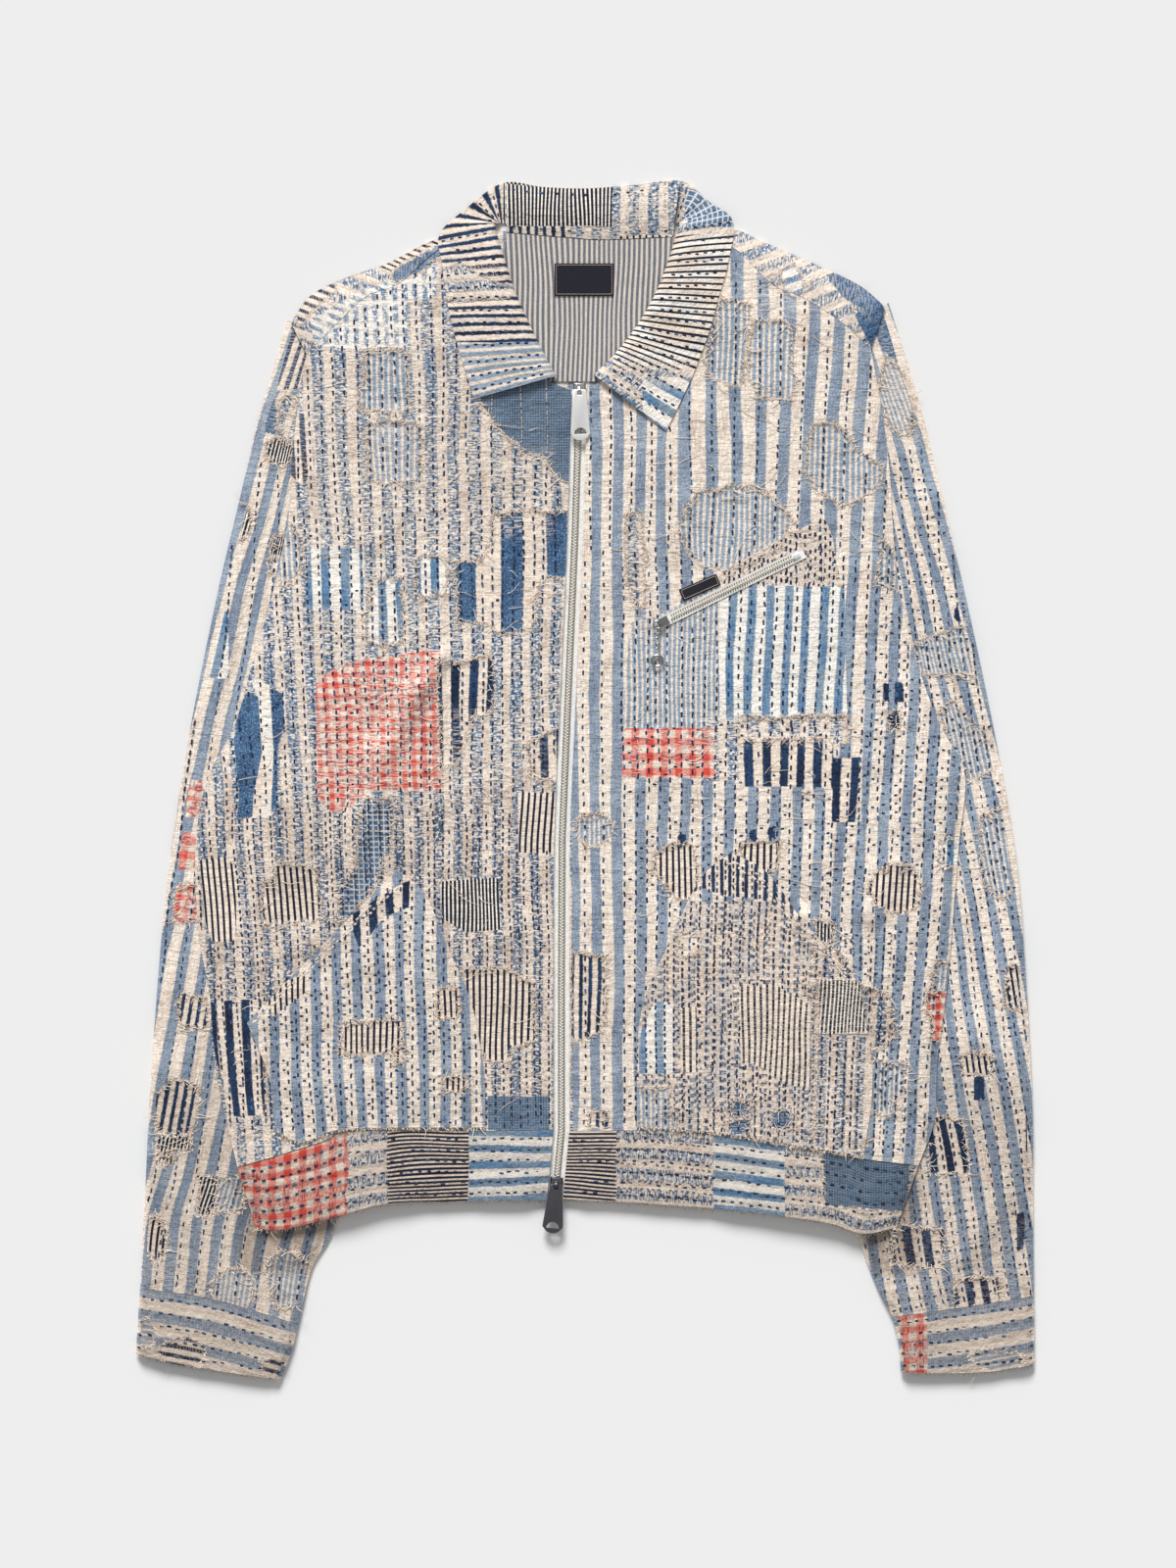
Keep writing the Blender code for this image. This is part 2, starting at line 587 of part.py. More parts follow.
def flat_piece(name, centre, size, tilt, low, material, thick=LINING):
    """A small rectangle of woven cloth on a panel."""
    cos, sin = math.cos(math.radians(tilt)), math.sin(math.radians(tilt))
    rows = []
    for v in (-0.5, 0.0, 0.5):
        row = []
        for u in (-0.5, 0.0, 0.5):
            x, y = u * size[0], v * size[1]
            row.append((centre[0] + x * cos - y * sin, centre[1] + x * sin + y * cos))
        rows.append(row)
    return sheet(name, rows, low, thick, material)


# Zips.


def zip_place(y):
    """The place on the zip's middle line at this height, and the line's lean there in degrees."""
    for (x0, y0), (x1, y1) in zip(ZIP_LINE, ZIP_LINE[1:]):
        if y0 <= y <= y1:
            lean = math.degrees(math.atan2(y1 - y0, x1 - x0)) - 90.0
            return (x0 + (x1 - x0) * (y - y0) / (y1 - y0), y), lean
    raise ValueError("off the zip")


def build_front_zip():
    low = over(back_top)
    near = CHAIN_HALF + 2 * SEAM
    strip("zip_tape_right", ZIP_LINE, near, TAPE_REACH, low, TAPE, "white tape")
    strip("zip_tape_left", ZIP_LINE, -TAPE_REACH, -near, low, TAPE, "white tape")
    clear = SLIDER_SIZE[1] / 2 + 2 * SEAM
    line = [zip_place(LOW_SLIDER_Y + clear)[0], *ZIP_LINE[1:-1], zip_place(TOP_SLIDER_Y - clear)[0]]
    strip("zip_chain", line, -CHAIN_HALF, CHAIN_HALF, low, CHAIN_THICK, "pale brass")


def build_chest_zip():
    tape_low = over(front_top)
    strip("chest_zip_tape", CHEST_ZIP, -CHEST_TAPE_HALF, CHEST_TAPE_HALF, tape_low, LINING,
          "white tape", cells=6)
    (x0, y0), (x1, y1) = CHEST_ZIP
    length = math.dist((x0, y0), (x1, y1))
    skip = ((CHEST_SLIDER_ALONG + CHEST_SLIDER_SIZE[1] / 2 + 2 * SEAM) / length, 0.94)
    line = [(x0 + (x1 - x0) * share, y0 + (y1 - y0) * share) for share in skip]
    chain_low = over(front_top, 2 * SEAM + LINING)
    strip("chest_zip_chain", line, -CHEST_CHAIN_HALF, CHEST_CHAIN_HALF, chain_low,
          CHEST_CHAIN_THICK, "pale brass", cells=6)
    flat_piece("chest_tab", TAB_CENTRE, TAB_SIZE, TAB_TILT, tape_low, "black woven label")


def block_points(width, length, height):
    """A low slider body: a foot as wide as the chain and a narrower, softened top."""
    points = []
    for share, z in ((0.86, 0.0), (1.0, 0.25 * height), (1.0, 0.7 * height), (0.78, height)):
        for x, y in ((-1, -1), (1, -1), (1, 1), (-1, 1)):
            points.append((x * share * width / 2, y * (share + 1) / 2 * length / 2, z))
    return points


def build_slider(name, centre, size, low, turn, material, arch_y=0.0):
    """A slider body with the arch that its pull hangs in. Returns the height of the arch's axis."""
    width, length, height = size
    points = block_points(width, length, height)
    faces = [(3, 2, 1, 0), (12, 13, 14, 15)]
    for level in range(3):
        for at in range(4):
            start, end = level * 4 + at, level * 4 + (at + 1) % 4
            faces.append((start, end, end + 4, start + 4))
    body = add_mesh(name, points, faces, material)

    arch_points, arch_faces, steps = [], [], 8
    sink = height - 0.0006
    axis = height + AXIS_OVER_SLIDER
    profile = [(-ARCH_OUTER, sink, ARCH_INNER)]
    for step in range(steps + 1):
        angle = math.pi * step / steps
        profile.append((-math.cos(angle) * ARCH_OUTER, axis + math.sin(angle) * ARCH_OUTER,
                        -math.cos(angle) * ARCH_INNER, axis + math.sin(angle) * ARCH_INNER))
    profile[0] = (-ARCH_OUTER, sink, -ARCH_INNER, sink)
    profile.append((ARCH_OUTER, sink, ARCH_INNER, sink))
    for outer_y, outer_z, inner_y, inner_z in profile:
        for x in (-ARCH_WIDTH / 2, ARCH_WIDTH / 2):
            arch_points += [(x, outer_y, outer_z), (x, inner_y, inner_z)]
    for at in range(len(profile) - 1):
        a, b = at * 4, at * 4 + 4
        arch_faces += [(a, b, b + 2, a + 2), (a + 1, a + 3, b + 3, b + 1),
                       (a, a + 1, b + 1, b), (a + 2, b + 2, b + 3, a + 3)]
    end = (len(profile) - 1) * 4
    arch_faces += [(0, 2, 3, 1), (end, end + 1, end + 3, end + 2)]
    arch = add_mesh(name + "_arch", arch_points, arch_faces, material)
    for corner in arch.data.vertices:
        corner.co.y += arch_y
    for piece in (body, arch):
        piece.location = (centre[0], centre[1], low)
        piece.rotation_euler.z = math.radians(turn)
    arch.hide_render = True
    arch.display_type = "WIRE"
    union = body.modifiers.new("arch", "BOOLEAN")
    union.operation = "UNION"
    union.object = arch
    return low + axis


def closed_spline(curve, points):
    spline = curve.splines.new("POLY")
    spline.points.add(len(points) - 1)
    for place, (x, y) in zip(spline.points, points):
        place.co = (x, y, 0.0, 1.0)
    spline.use_cyclic_u = True


def build_pull(name, profile, hole_below, axis_at, turn, material):
    """A flat pull tab with a slot for the arch and a half-round hole, its origin on the axis."""
    curve = bpy.data.curves.new(name, "CURVE")
    curve.dimensions = "2D"
    curve.fill_mode = "BOTH"
    curve.extrude = PULL_THICK / 2
    outline = [(half, -below) for half, below in profile]
    outline += [(-half, -below) for half, below in reversed(profile)]
    closed_spline(curve, outline)
    half = SLOT_WIDTH / 2
    closed_spline(curve, [(-half, -SLOT_NEAR), (half, -SLOT_NEAR),
                          (half, -SLOT_FAR), (-half, -SLOT_FAR)])
    hole = [(PULL_HOLE["radius"] * math.cos(math.pi * step / 12),
             PULL_HOLE["radius"] * math.sin(math.pi * step / 12) - hole_below)
            for step in range(13)]
    closed_spline(curve, hole)
    pull = add_object(name, curve, material)
    pull.location = axis_at
    pull.rotation_euler.z = math.radians(turn)
    return pull


def build_sliders():
    """Both sliders of the front zip straddle the chain and rest on its tapes."""
    for name, y, profile, material in (("top", TOP_SLIDER_Y, TOP_PULL, "nickel"),
                                       ("bottom", LOW_SLIDER_Y, LOW_PULL, "gunmetal")):
        centre, lean = zip_place(y)
        low = back_top(*centre) + TAPE + 2 * SEAM
        axis = build_slider("zip_slider_" + name, centre, SLIDER_SIZE, low, lean, material)
        build_pull("zip_pull_" + name, profile, PULL_HOLE[name], (*centre, axis),
                   PULL_TURN[name], material)


def add_ring(name, centre, radius, wire, around, material, upright=False):
    """A ring of round wire, flat, or upright in the YZ plane."""
    points, faces, section = [], [], 8
    for step in range(around):
        angle = math.tau * step / around
        for turn in range(section):
            tilt = math.tau * turn / section
            off = radius + wire * math.cos(tilt)
            points.append((off * math.cos(angle), off * math.sin(angle), wire * math.sin(tilt)))
    for step in range(around):
        for turn in range(section):
            here, there = step * section, (step + 1) % around * section
            after = (turn + 1) % section
            faces.append((here + turn, there + turn, there + after, here + after))
    ring = add_mesh(name, points, faces, material)
    ring.location = centre
    if upright:
        ring.rotation_euler.y = math.pi / 2
    return ring


def build_chest_slider():
    """The chest slider, the eye that it carries, and the bead chain and ring that hang on the eye."""
    (x0, y0), (x1, y1) = CHEST_ZIP
    along = math.atan2(y1 - y0, x1 - x0)
    x = x0 + CHEST_SLIDER_ALONG * math.cos(along)
    y = y0 + CHEST_SLIDER_ALONG * math.sin(along)
    low = front_top(x, y) + 3 * SEAM + LINING
    turn = math.degrees(along) - 90.0
    axis = build_slider("chest_zip_slider", (x, y), CHEST_SLIDER_SIZE, low, turn, "nickel",
                        arch_y=-CHEST_ARCH_BACK)
    back = CHEST_ARCH_BACK + EYE_RADIUS
    eye_x, eye_y = x - back * math.cos(along), y - back * math.sin(along)
    add_ring("chest_zip_eye", (eye_x, eye_y, axis), EYE_RADIUS, EYE_WIRE, 16, "nickel")

    hinge = bpy.data.objects.new("chest_pull", None)
    bpy.context.scene.collection.objects.link(hinge)
    hinge.location = (eye_x, eye_y - EYE_RADIUS, axis)
    link = add_ring("chest_pull_link", (0.0, -LINK_SAG, 0.0), LINK_RADIUS, LINK_WIRE, 12,
                    "nickel", upright=True)
    start = -LINK_SAG - LINK_RADIUS - LINK_WIRE - SEAM
    chain = build_bead_chain(start)
    ring_y = start - CHEST_LINKS * CHEST_LINK_PITCH - SEAM - RING_WIRE - RING_RADIUS
    ring = add_ring("chest_pull_ring", (0.0, ring_y, 0.0), RING_RADIUS, RING_WIRE, 24, "nickel")
    for piece in (link, chain, ring):
        piece.parent = hinge


def build_bead_chain(start_y):
    """A short chain of beads, turned about its own line, which runs towards the hem."""
    profile = [(0.0, 0.0)]
    for link in range(CHEST_LINKS):
        for share, radius in ((0.12, BEAD_NECK), (0.30, BEAD_RADIUS), (0.55, BEAD_RADIUS),
                              (0.88, BEAD_NECK)):
            profile.append(((link + share) * CHEST_LINK_PITCH, radius))
    profile.append((CHEST_LINKS * CHEST_LINK_PITCH, 0.0))
    points, faces, around = [(0.0, start_y, 0.0)], [], 8
    for along, radius in profile[1:-1]:
        for step in range(around):
            angle = math.tau * step / around
            points.append((radius * math.cos(angle), start_y - along,
                           radius * math.sin(angle)))
    points.append((0.0, start_y - profile[-1][0], 0.0))
    rings = len(profile) - 2
    for step in range(around):
        after = (step + 1) % around
        faces.append((0, 1 + step, 1 + after))
        for ring in range(rings - 1):
            here, there = 1 + ring * around, 1 + (ring + 1) * around
            faces.append((here + step, there + step, there + after, here + after))
        last = 1 + (rings - 1) * around
        faces.append((last + step, len(points) - 1, last + after))
    return add_mesh("chest_pull_chain", points, faces, "nickel")


def main():
    clear_scene()
    build_back()
    build_front("right", BAND_SEAM_RIGHT, YOKE_RIGHT, NECKLINE_RIGHT, SIDE_RIGHT, HEM_RIGHT, 1)
    build_front("left", BAND_SEAM_LEFT, YOKE_LEFT, NECKLINE_LEFT, SIDE_LEFT, HEM_LEFT, -1)
    build_yoke("right", YOKE_RIGHT, SHOULDER_RIGHT)
    build_yoke("left", YOKE_LEFT, SHOULDER_LEFT)
    build_sleeve("right", SLEEVE_RIGHT)
    build_sleeve("left", SLEEVE_LEFT)
    build_hand_pocket("right", POCKET_RIGHT)
    build_hand_pocket("left", POCKET_LEFT)
    build_collar()
    build_lining()
    build_front_zip()
    build_chest_zip()
    build_sliders()
    build_chest_slider()


main()
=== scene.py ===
"""A patched boro zip jacket, laid flat: its cloth, stitching and zips, and the studio round it.

Metres throughout, and tables in millimetres. The wearer's left is +X, the neck is at +Y and
the floor is at Z 0.
"""

import math

import bmesh
import bpy
import numpy as np
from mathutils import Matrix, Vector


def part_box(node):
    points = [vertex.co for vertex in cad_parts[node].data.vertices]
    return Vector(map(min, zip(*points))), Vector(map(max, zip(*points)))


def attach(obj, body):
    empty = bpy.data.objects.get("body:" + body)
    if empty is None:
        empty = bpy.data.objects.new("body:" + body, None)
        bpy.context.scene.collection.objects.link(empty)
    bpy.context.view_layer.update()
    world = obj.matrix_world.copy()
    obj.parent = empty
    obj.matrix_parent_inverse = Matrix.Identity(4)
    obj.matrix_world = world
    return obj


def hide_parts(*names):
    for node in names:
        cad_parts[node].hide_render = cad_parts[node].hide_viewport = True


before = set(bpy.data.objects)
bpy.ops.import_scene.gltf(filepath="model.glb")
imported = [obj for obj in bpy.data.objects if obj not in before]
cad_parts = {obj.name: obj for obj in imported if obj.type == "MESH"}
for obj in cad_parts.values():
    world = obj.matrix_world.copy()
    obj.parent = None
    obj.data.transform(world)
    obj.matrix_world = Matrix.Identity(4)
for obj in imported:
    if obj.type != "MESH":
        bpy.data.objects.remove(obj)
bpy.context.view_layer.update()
MM = 0.001


def mm(*rows):
    """Rows given in millimetres, in metres."""
    return [tuple(value / 1000 for value in row) for row in rows]


# Thicknesses of the cloth and heights of its layers.
CLOTH, LINING, SEAM = 0.0016, 0.0008, 0.0003
CLOTH_SHELL, THIN_SHELL = 0.0011, 0.0006
SLEEVE_FLAT, BODY_OVER_SLEEVE = 0.0036, 0.0039
SLEEVE_PUFF, PUFF_START, PUFF_REACH = 0.0022, 0.028, 0.020
FRONT_PUFF, FRONT_PUFF_REACH = 0.0012, 0.060
TUCK_FLAT, TUCK_RAMP = 0.020, 0.080
POCKET_LIFT, STAND_PUFF, TURN_HEIGHT = 0.0004, 0.0030, 0.0026
ZIP_OPEN, TAPE_REACH, ROLL_REACH, FLOOR_GAP = 0.0055, 0.0140, 0.0045, 0.0002

# Edges of the body, each read from the hem up or from the wearer's right to the left.
SIDE_RIGHT = mm((-241, -268), (-248, -239), (-258, -188), (-260, -150), (-268, -105), (-270, -45),
    (-262, 0), (-243, 38), (-231, 80), (-217, 128), (-206, 180), (-203, 226), (-197, 275),
    (-193, 295))
SIDE_LEFT = mm((231, -267), (242, -236), (244, -195), (250, -150), (255, -95), (259, -45), (263, 5),
    (245, 40), (229, 85), (218, 130), (213, 180), (211, 215), (206, 255), (198, 299))
SHOULDER_RIGHT = mm((-204, 317), (-190, 336), (-164, 349), (-138, 358), (-101, 376), (-62, 381))
SHOULDER_LEFT = mm((66, 380), (102, 382), (122, 374), (161, 357), (190, 343), (208, 328))
NECK_BACK = mm((-62, 381), (-12, 379), (14, 378), (66, 380))
YOKE_RIGHT = mm((-193, 295), (-173, 315), (-151, 335), (-129, 344), (-101, 368), (-78, 373))
YOKE_LEFT = mm((82, 374), (104, 368), (130, 343), (151, 334), (176, 318), (198, 299))
NECKLINE_RIGHT = mm((-78, 373), (-70, 352), (-57, 325), (-42, 298), (-28, 279), (-9.5, 270))
NECKLINE_LEFT = mm((82, 374), (71, 352), (56, 325), (37, 302), (20, 284), (1.5, 270))
BAND_SEAM_RIGHT = mm((-241, -268), (-213, -260), (-181, -250), (-160, -243), (-71, -243),
    (-21.5, -242))
BAND_SEAM_LEFT = mm((-10.5, -243), (58, -243), (89, -246), (164, -258), (190, -262), (231, -267))
HEM_RIGHT = mm((-228, -311), (-208, -311), (-172, -302), (-135, -293), (-84, -292), (-26.5, -291))
HEM_LEFT = mm((-15.5, -291), (21, -292), (89, -297), (137, -302), (170, -307), (192, -314),
    (216, -310))
ZIP_LINE = mm((-21, -291), (-16.5, -243), (-16.5, -140), (-16, -40), (-11.5, 67), (-7, 172),
    (-4, 270))
CHEST_ZIP = mm((49.5, 107.5), (151.5, 157.5))

# Sleeves: edges from the cuff seam up, the head under the armhole.
SLEEVE_RIGHT = {
    "cuff seam": mm((-308.5, -352), (-272, -357), (-245, -363), (-199, -377)),
    "outer": mm((-308.5, -352), (-305, -284), (-301, -206), (-291.5, -86), (-276, 23), (-257, 120),
        (-240, 193), (-227, 250), (-219, 276), (-206.5, 319)),
    "inner": mm((-199, -377), (-189, -337), (-171, -304), (-152, -220), (-138, -120), (-132, -20),
        (-138, 60), (-152, 120)),
    "head": mm((-206.5, 319), (-192, 312), (-186, 285), (-186, 240), (-180, 190), (-152, 120)),
    "cuff end": mm((-311.5, -397), (-288, -404), (-250, -410), (-211, -415.5)),
    "cuff outer": mm((-308.5, -352), (-311.5, -397)),
    "cuff inner": mm((-199, -377), (-203, -394), (-211, -415.5)),
}
SLEEVE_LEFT = {
    "cuff seam": mm((311, -357.5), (284, -362), (257, -366), (213, -372)),
    "outer": mm((311, -357.5), (310.5, -290), (310, -225), (305, -129), (297, -40), (280, 52),
        (260, 144), (244, 213), (230, 268), (210.5, 331)),
    "inner": mm((213, -372), (199, -343), (186, -304), (162, -220), (146, -120), (140, -20),
        (146, 60), (160, 120)),
    "head": mm((210.5, 331), (197, 323), (190, 297), (193, 245), (188, 190), (160, 120)),
    "cuff end": mm((311.5, -405.5), (278, -410), (246, -411), (219, -410)),
    "cuff outer": mm((311, -357.5), (311.5, -405.5)),
    "cuff inner": mm((213, -372), (217, -388), (219, -410)),
}

# Hand pockets: foot along the waistband, and the slanted opening.
POCKET_RIGHT = {
    "foot": mm((-214, -243), (-195, -250.5), (-165, -241.5), (-69, -240.5)),
    "first": mm((-214, -243), (-219, -205), (-234, -168)),
    "opening": mm((-234, -168), (-180, -112), (-130, -62)),
    "last": mm((-69, -240.5), (-70, -205), (-78, -157), (-94, -118), (-111, -79), (-130, -62)),
}
POCKET_LEFT = {
    "foot": mm((36, -240.5), (90, -244), (150, -253.5), (193, -260)),
    "last": mm((193, -260), (199, -205), (190, -141)),
    "opening": mm((101, -50), (126, -64), (150, -96), (190, -141)),
    "first": mm((36, -240.5), (38, -165), (60, -108), (81, -67), (101, -50)),
}

# The collar fall, from the wearer's right tip round the back to the left tip: a place on its
# inner edge, then one on its outer edge. It lies on the fronts (0), turns (1) and lies on the
# floor behind the neck (2), and rolls up between its edges.
COLLAR_FALL = mm((-20, 280, -77, 264), (-26, 291, -83, 284), (-37, 313, -91, 311),
    (-47, 335, -96, 334), (-55, 359, -99, 357), (-62, 383, -101, 378), (-60, 386, -83, 396),
    (-56, 386, -57, 414.2), (-30, 385, -30, 411.5), (0, 384, 0, 410.5), (34, 384, 36, 413),
    (61, 386, 67, 415.5), (65, 387, 86, 401), (64, 381, 102.5, 387), (56, 356, 99, 358),
    (48, 336, 93, 336), (37, 317, 86, 311), (26, 302, 76, 284), (15, 290, 66, 262),
    (6, 281, 56, 242))
COLLAR_LIES = [0] * 6 + [1] + [2] * 5 + [1] + [0] * 7
ROLL = [(0.00, -0.0030), (0.06, 0.0026), (0.35, 0.0030), (0.70, 0.0012), (1.00, 0.0)]
STAND_TOP = mm((-54.5, 413.7), (-30, 411.2), (0, 410.2), (34, 412.7), (65.5, 415))
STAND_SEAM = mm((-54.5, 380), (-12, 376.5), (14, 375), (61, 377))
LINING_FOOT = mm((-44, 276.5), (-4, 276.5), (38, 276.5))
LINING_RIGHT = mm((-44, 276.5), (-62, 310), (-54.5, 379))
LINING_LEFT = mm((38, 276.5), (60, 310), (61, 376))
LABEL_CENTRE, LABEL_SIZE = (-0.0007, 0.347), (0.041, 0.0225)
TAB_CENTRE, TAB_SIZE, TAB_TILT = (0.0795, 0.1335), (0.028, 0.0085), 23.5

# Folds, from a start to an end, then half their width and their height. The creases are
# pressed into the fronts and sleeves.
FRONT_FOLDS = mm((-106, 80, -160, -50, 18, 1.6), (-200, 150, -120, 60, 22, 1.2),
    (200, 60, 110, -20, 24, 1.2), (60, 220, 40, 150, 22, 1))
SLEEVE_FOLDS = mm((-268, 80, -288, -90, 14, 1.2), (-292, -180, -270, -300, 14, 1.2),
    (262, 100, 290, -80, 14, 1.2), (296, -180, 275, -310, 14, 1.2))
FRONT_CREASES = mm((-98, 86, -124, 56, 6, 4), (-118, 62, -148, 10, 8, 6.8),
    (-146, 16, -158, -34, 9, 7), (-156, -28, -186, -108, 11, 5.6), (-214, 150, -190, 60, 12, 2.2),
    (-235, 30, -205, -60, 12, 3.6), (-75, 200, -60, 110, 12, 1.2), (-52, 20, -40, -110, 13, 1.6),
    (-246, -110, -226, -190, 10, 2.4), (215, 215, 196, 110, 10, 2.6), (232, 75, 214, -30, 9, 2.2),
    (236, 0, 198, -90, 11, 4), (152, -94, 160, -140, 7, 5), (190, 12, 156, -60, 12, 2),
    (46, 235, 18, 130, 14, 1.2), (20, 60, 32, -70, 14, 1.2), (238, -135, 222, -225, 10, 2.6),
    (120, 290, 168, 246, 14, 1.4))
SLEEVE_CREASES = mm((-248, 180, -262, 20, 8, 2), (-285, 10, -262, -60, 10, 2.4),
    (-276, -80, -296, -170, 9, 1.8), (-290, -200, -250, -262, 10, 2.6),
    (-300, -262, -262, -345, 9, 2.2), (-236, -282, -214, -350, 8, 2), (240, 190, 266, 40, 9, 2.2),
    (262, 20, 296, -60, 10, 2.4), (300, -80, 272, -180, 9, 2), (268, -170, 302, -250, 10, 2.6),
    (302, -262, 262, -330, 9, 2.2), (232, -290, 250, -352, 8, 2.2))


# Plan curves and distances.


def smooth(share):
    """0 to 1 with level ends."""
    share = np.clip(share, 0.0, 1.0)
    return share * share * (3.0 - 2.0 * share)


def length_of(line):
    return np.linalg.norm(np.diff(line, axis=0), axis=1).sum()


def run_of(rows, axis):
    """Distance along each row of places (axis 1) or each column (axis 0)."""
    steps = np.linalg.norm(np.diff(rows, axis=axis), axis=-1)
    start = np.zeros_like(np.take(steps, [0], axis=axis))
    return np.concatenate([start, np.cumsum(steps, axis=axis)], axis=axis)


def spaced(points, count):
    """count + 1 places along the line through the points, evenly by length."""
    points = np.asarray(points, float)
    steps = np.hypot(*np.diff(points, axis=0).T)
    run = np.concatenate([[0.0], np.cumsum(steps)])
    goal = np.linspace(0.0, run[-1], count + 1)
    return np.stack([np.interp(goal, run, points[:, axis]) for axis in (0, 1)], axis=1)


def eased(rows, at, t):
    """Values that pass smoothly through rows, a share t of the way from row at to the next."""
    padded = np.vstack([2 * rows[0] - rows[1], rows, 2 * rows[-1] - rows[-2]])
    a, b, c, d = (padded[at + step] for step in range(4))
    return 0.5 * (2 * b + (c - a) * t + (2 * a - 5 * b + 4 * c - d) * t * t
                  + (3 * b - a - 3 * c + d) * t ** 3)


def flowing(points, count):
    """Places along a curve that passes smoothly through the points."""
    knots = np.asarray(points, float)
    if len(knots) < 3:
        return spaced(knots, count)
    at, eighth = np.divmod(np.arange(8 * (len(knots) - 1)), 8)
    curve = eased(knots, at, (eighth / 8)[:, None])
    return spaced(np.vstack([curve, knots[-1:]]), count)


def patch(foot, top, right, left):
    """Rows of places that fill four edges."""
    foot, top, right, left = (np.asarray(edge, float) for edge in (foot, top, right, left))
    u = np.linspace(0.0, 1.0, len(foot))[None, :, None]
    v = np.linspace(0.0, 1.0, len(right))[:, None, None]
    edges = (1 - v) * foot[None] + v * top[None] + (1 - u) * right[:, None] + u * left[:, None]
    corners = (1 - u) * (1 - v) * foot[0] + u * (1 - v) * foot[-1]
    corners = corners + (1 - u) * v * top[0] + u * v * top[-1]
    return edges - corners


def strip(foot, top, count):
    """Rows of places between two lines, with straight ends."""
    return patch(foot, top, *(spaced([foot[end], top[end]], count) for end in (0, -1)))


def shifted(points, dx=0.0, dy=0.0):
    return np.asarray(points, float) + (dx, dy)


def off_line(places, line):
    """Distance in plan of each place from a line."""
    line = np.asarray(line, float)
    best = np.full(places.shape[:-1], 9.0)
    for start, end in zip(line, line[1:]):
        run = end - start
        share = np.clip(((places - start) @ run) / max(run @ run, 1e-12), 0.0, 1.0)
        gap = places - start - share[..., None] * run
        best = np.minimum(best, np.hypot(gap[..., 0], gap[..., 1]))
    return best


def inside(places, outline):
    """Whether each place is inside the closed outline."""
    outline = np.asarray(outline, float)
    x, y = places[..., 0], places[..., 1]
    odd = np.zeros(x.shape, bool)
    for (x0, y0), (x1, y1) in zip(outline, np.roll(outline, -1, axis=0)):
        if y0 != y1:
            odd ^= ((y0 > y) != (y1 > y)) & (x < x0 + (x1 - x0) * (y - y0) / (y1 - y0))
    return odd


def depth_in(places, outline):
    """Distance inside the closed outline, and below 0 outside it."""
    outline = np.asarray(outline, float)
    off = off_line(places, np.vstack([outline, outline[:1]]))
    return np.where(inside(places, outline), off, -off)


def edge_of(rows):
    """The outline of rows of places."""
    return np.vstack([rows[0], rows[1:, -1], rows[-1, -2::-1], rows[-2:0:-1, 0]])


def rumple(places, size, seed):
    """Smooth uneven heights from 0 to 1, about size apart."""
    table = np.random.default_rng(seed).random((61, 61))
    at = places / size + 20.0
    cell = np.floor(at).astype(int)
    share = smooth(at - cell)
    i, j = cell[..., 0] % 61, cell[..., 1] % 61
    i1, j1 = (i + 1) % 61, (j + 1) % 61
    low = table[i, j] * (1 - share[..., 0]) + table[i1, j] * share[..., 0]
    high = table[i, j1] * (1 - share[..., 0]) + table[i1, j1] * share[..., 0]
    return low * (1 - share[..., 1]) + high * share[..., 1]


def ridges(places, table):
    """Height of the folds in a table. Each bows a little to one side."""
    height = np.zeros(places.shape[:-1])
    for start_x, start_y, end_x, end_y, half_width, top in table:
        start, run = np.array((start_x, start_y)), np.array((end_x - start_x, end_y - start_y))
        length = math.hypot(*run)
        share = ((places - start) @ run) / length ** 2
        side = ((places - start) @ np.array((-run[1], run[0]))) / length
        bow = 0.05 * length * np.sin(np.clip(share, 0.0, 1.0) * math.pi)
        past = np.maximum(np.maximum(-share, share - 1.0), 0.0) * length
        off = np.hypot(side - bow, past)
        height = height + top * np.exp(-((off / half_width) ** 2))
    return height


SLEEVE_OUTLINES = [np.array(edges["outer"] + edges["head"][1:-1] + edges["inner"][::-1])
                   for edges in (SLEEVE_RIGHT, SLEEVE_LEFT)]
BODY_SIDES = [HEM_RIGHT[:1] + SIDE_RIGHT + SHOULDER_RIGHT,
              HEM_LEFT[-1:] + SIDE_LEFT + SHOULDER_LEFT[::-1]]
BODY_OUTLINE = BODY_SIDES[0] + BODY_SIDES[1][::-1] + HEM_LEFT[-2::-1] + HEM_RIGHT[:0:-1]


# Heights of the layers: "low" is a piece's underside and "top" its upper side.


def back_low(places):
    """The back lies on the floor, and on the sleeves where they are tucked under."""
    raised = np.zeros(places.shape[:-1])
    for outline in SLEEVE_OUTLINES:
        off = np.maximum(-depth_in(places, outline), 0.0)
        raised = np.maximum(raised, 1.0 - smooth((off - TUCK_FLAT) / TUCK_RAMP))
    return BODY_OVER_SLEEVE * raised


def back_top(places):
    return back_low(places) + CLOTH


def off_sides(places):
    return np.minimum(off_line(places, BODY_SIDES[0]), off_line(places, BODY_SIDES[1]))


def front_low(places):
    """The fronts meet the back at the side folds, and stand off it elsewhere."""
    off = off_sides(places)
    puff = FRONT_PUFF * smooth(off / FRONT_PUFF_REACH)
    soft = ridges(places, FRONT_FOLDS) * smooth(off / 0.03)
    return back_top(places) + SEAM + puff + soft


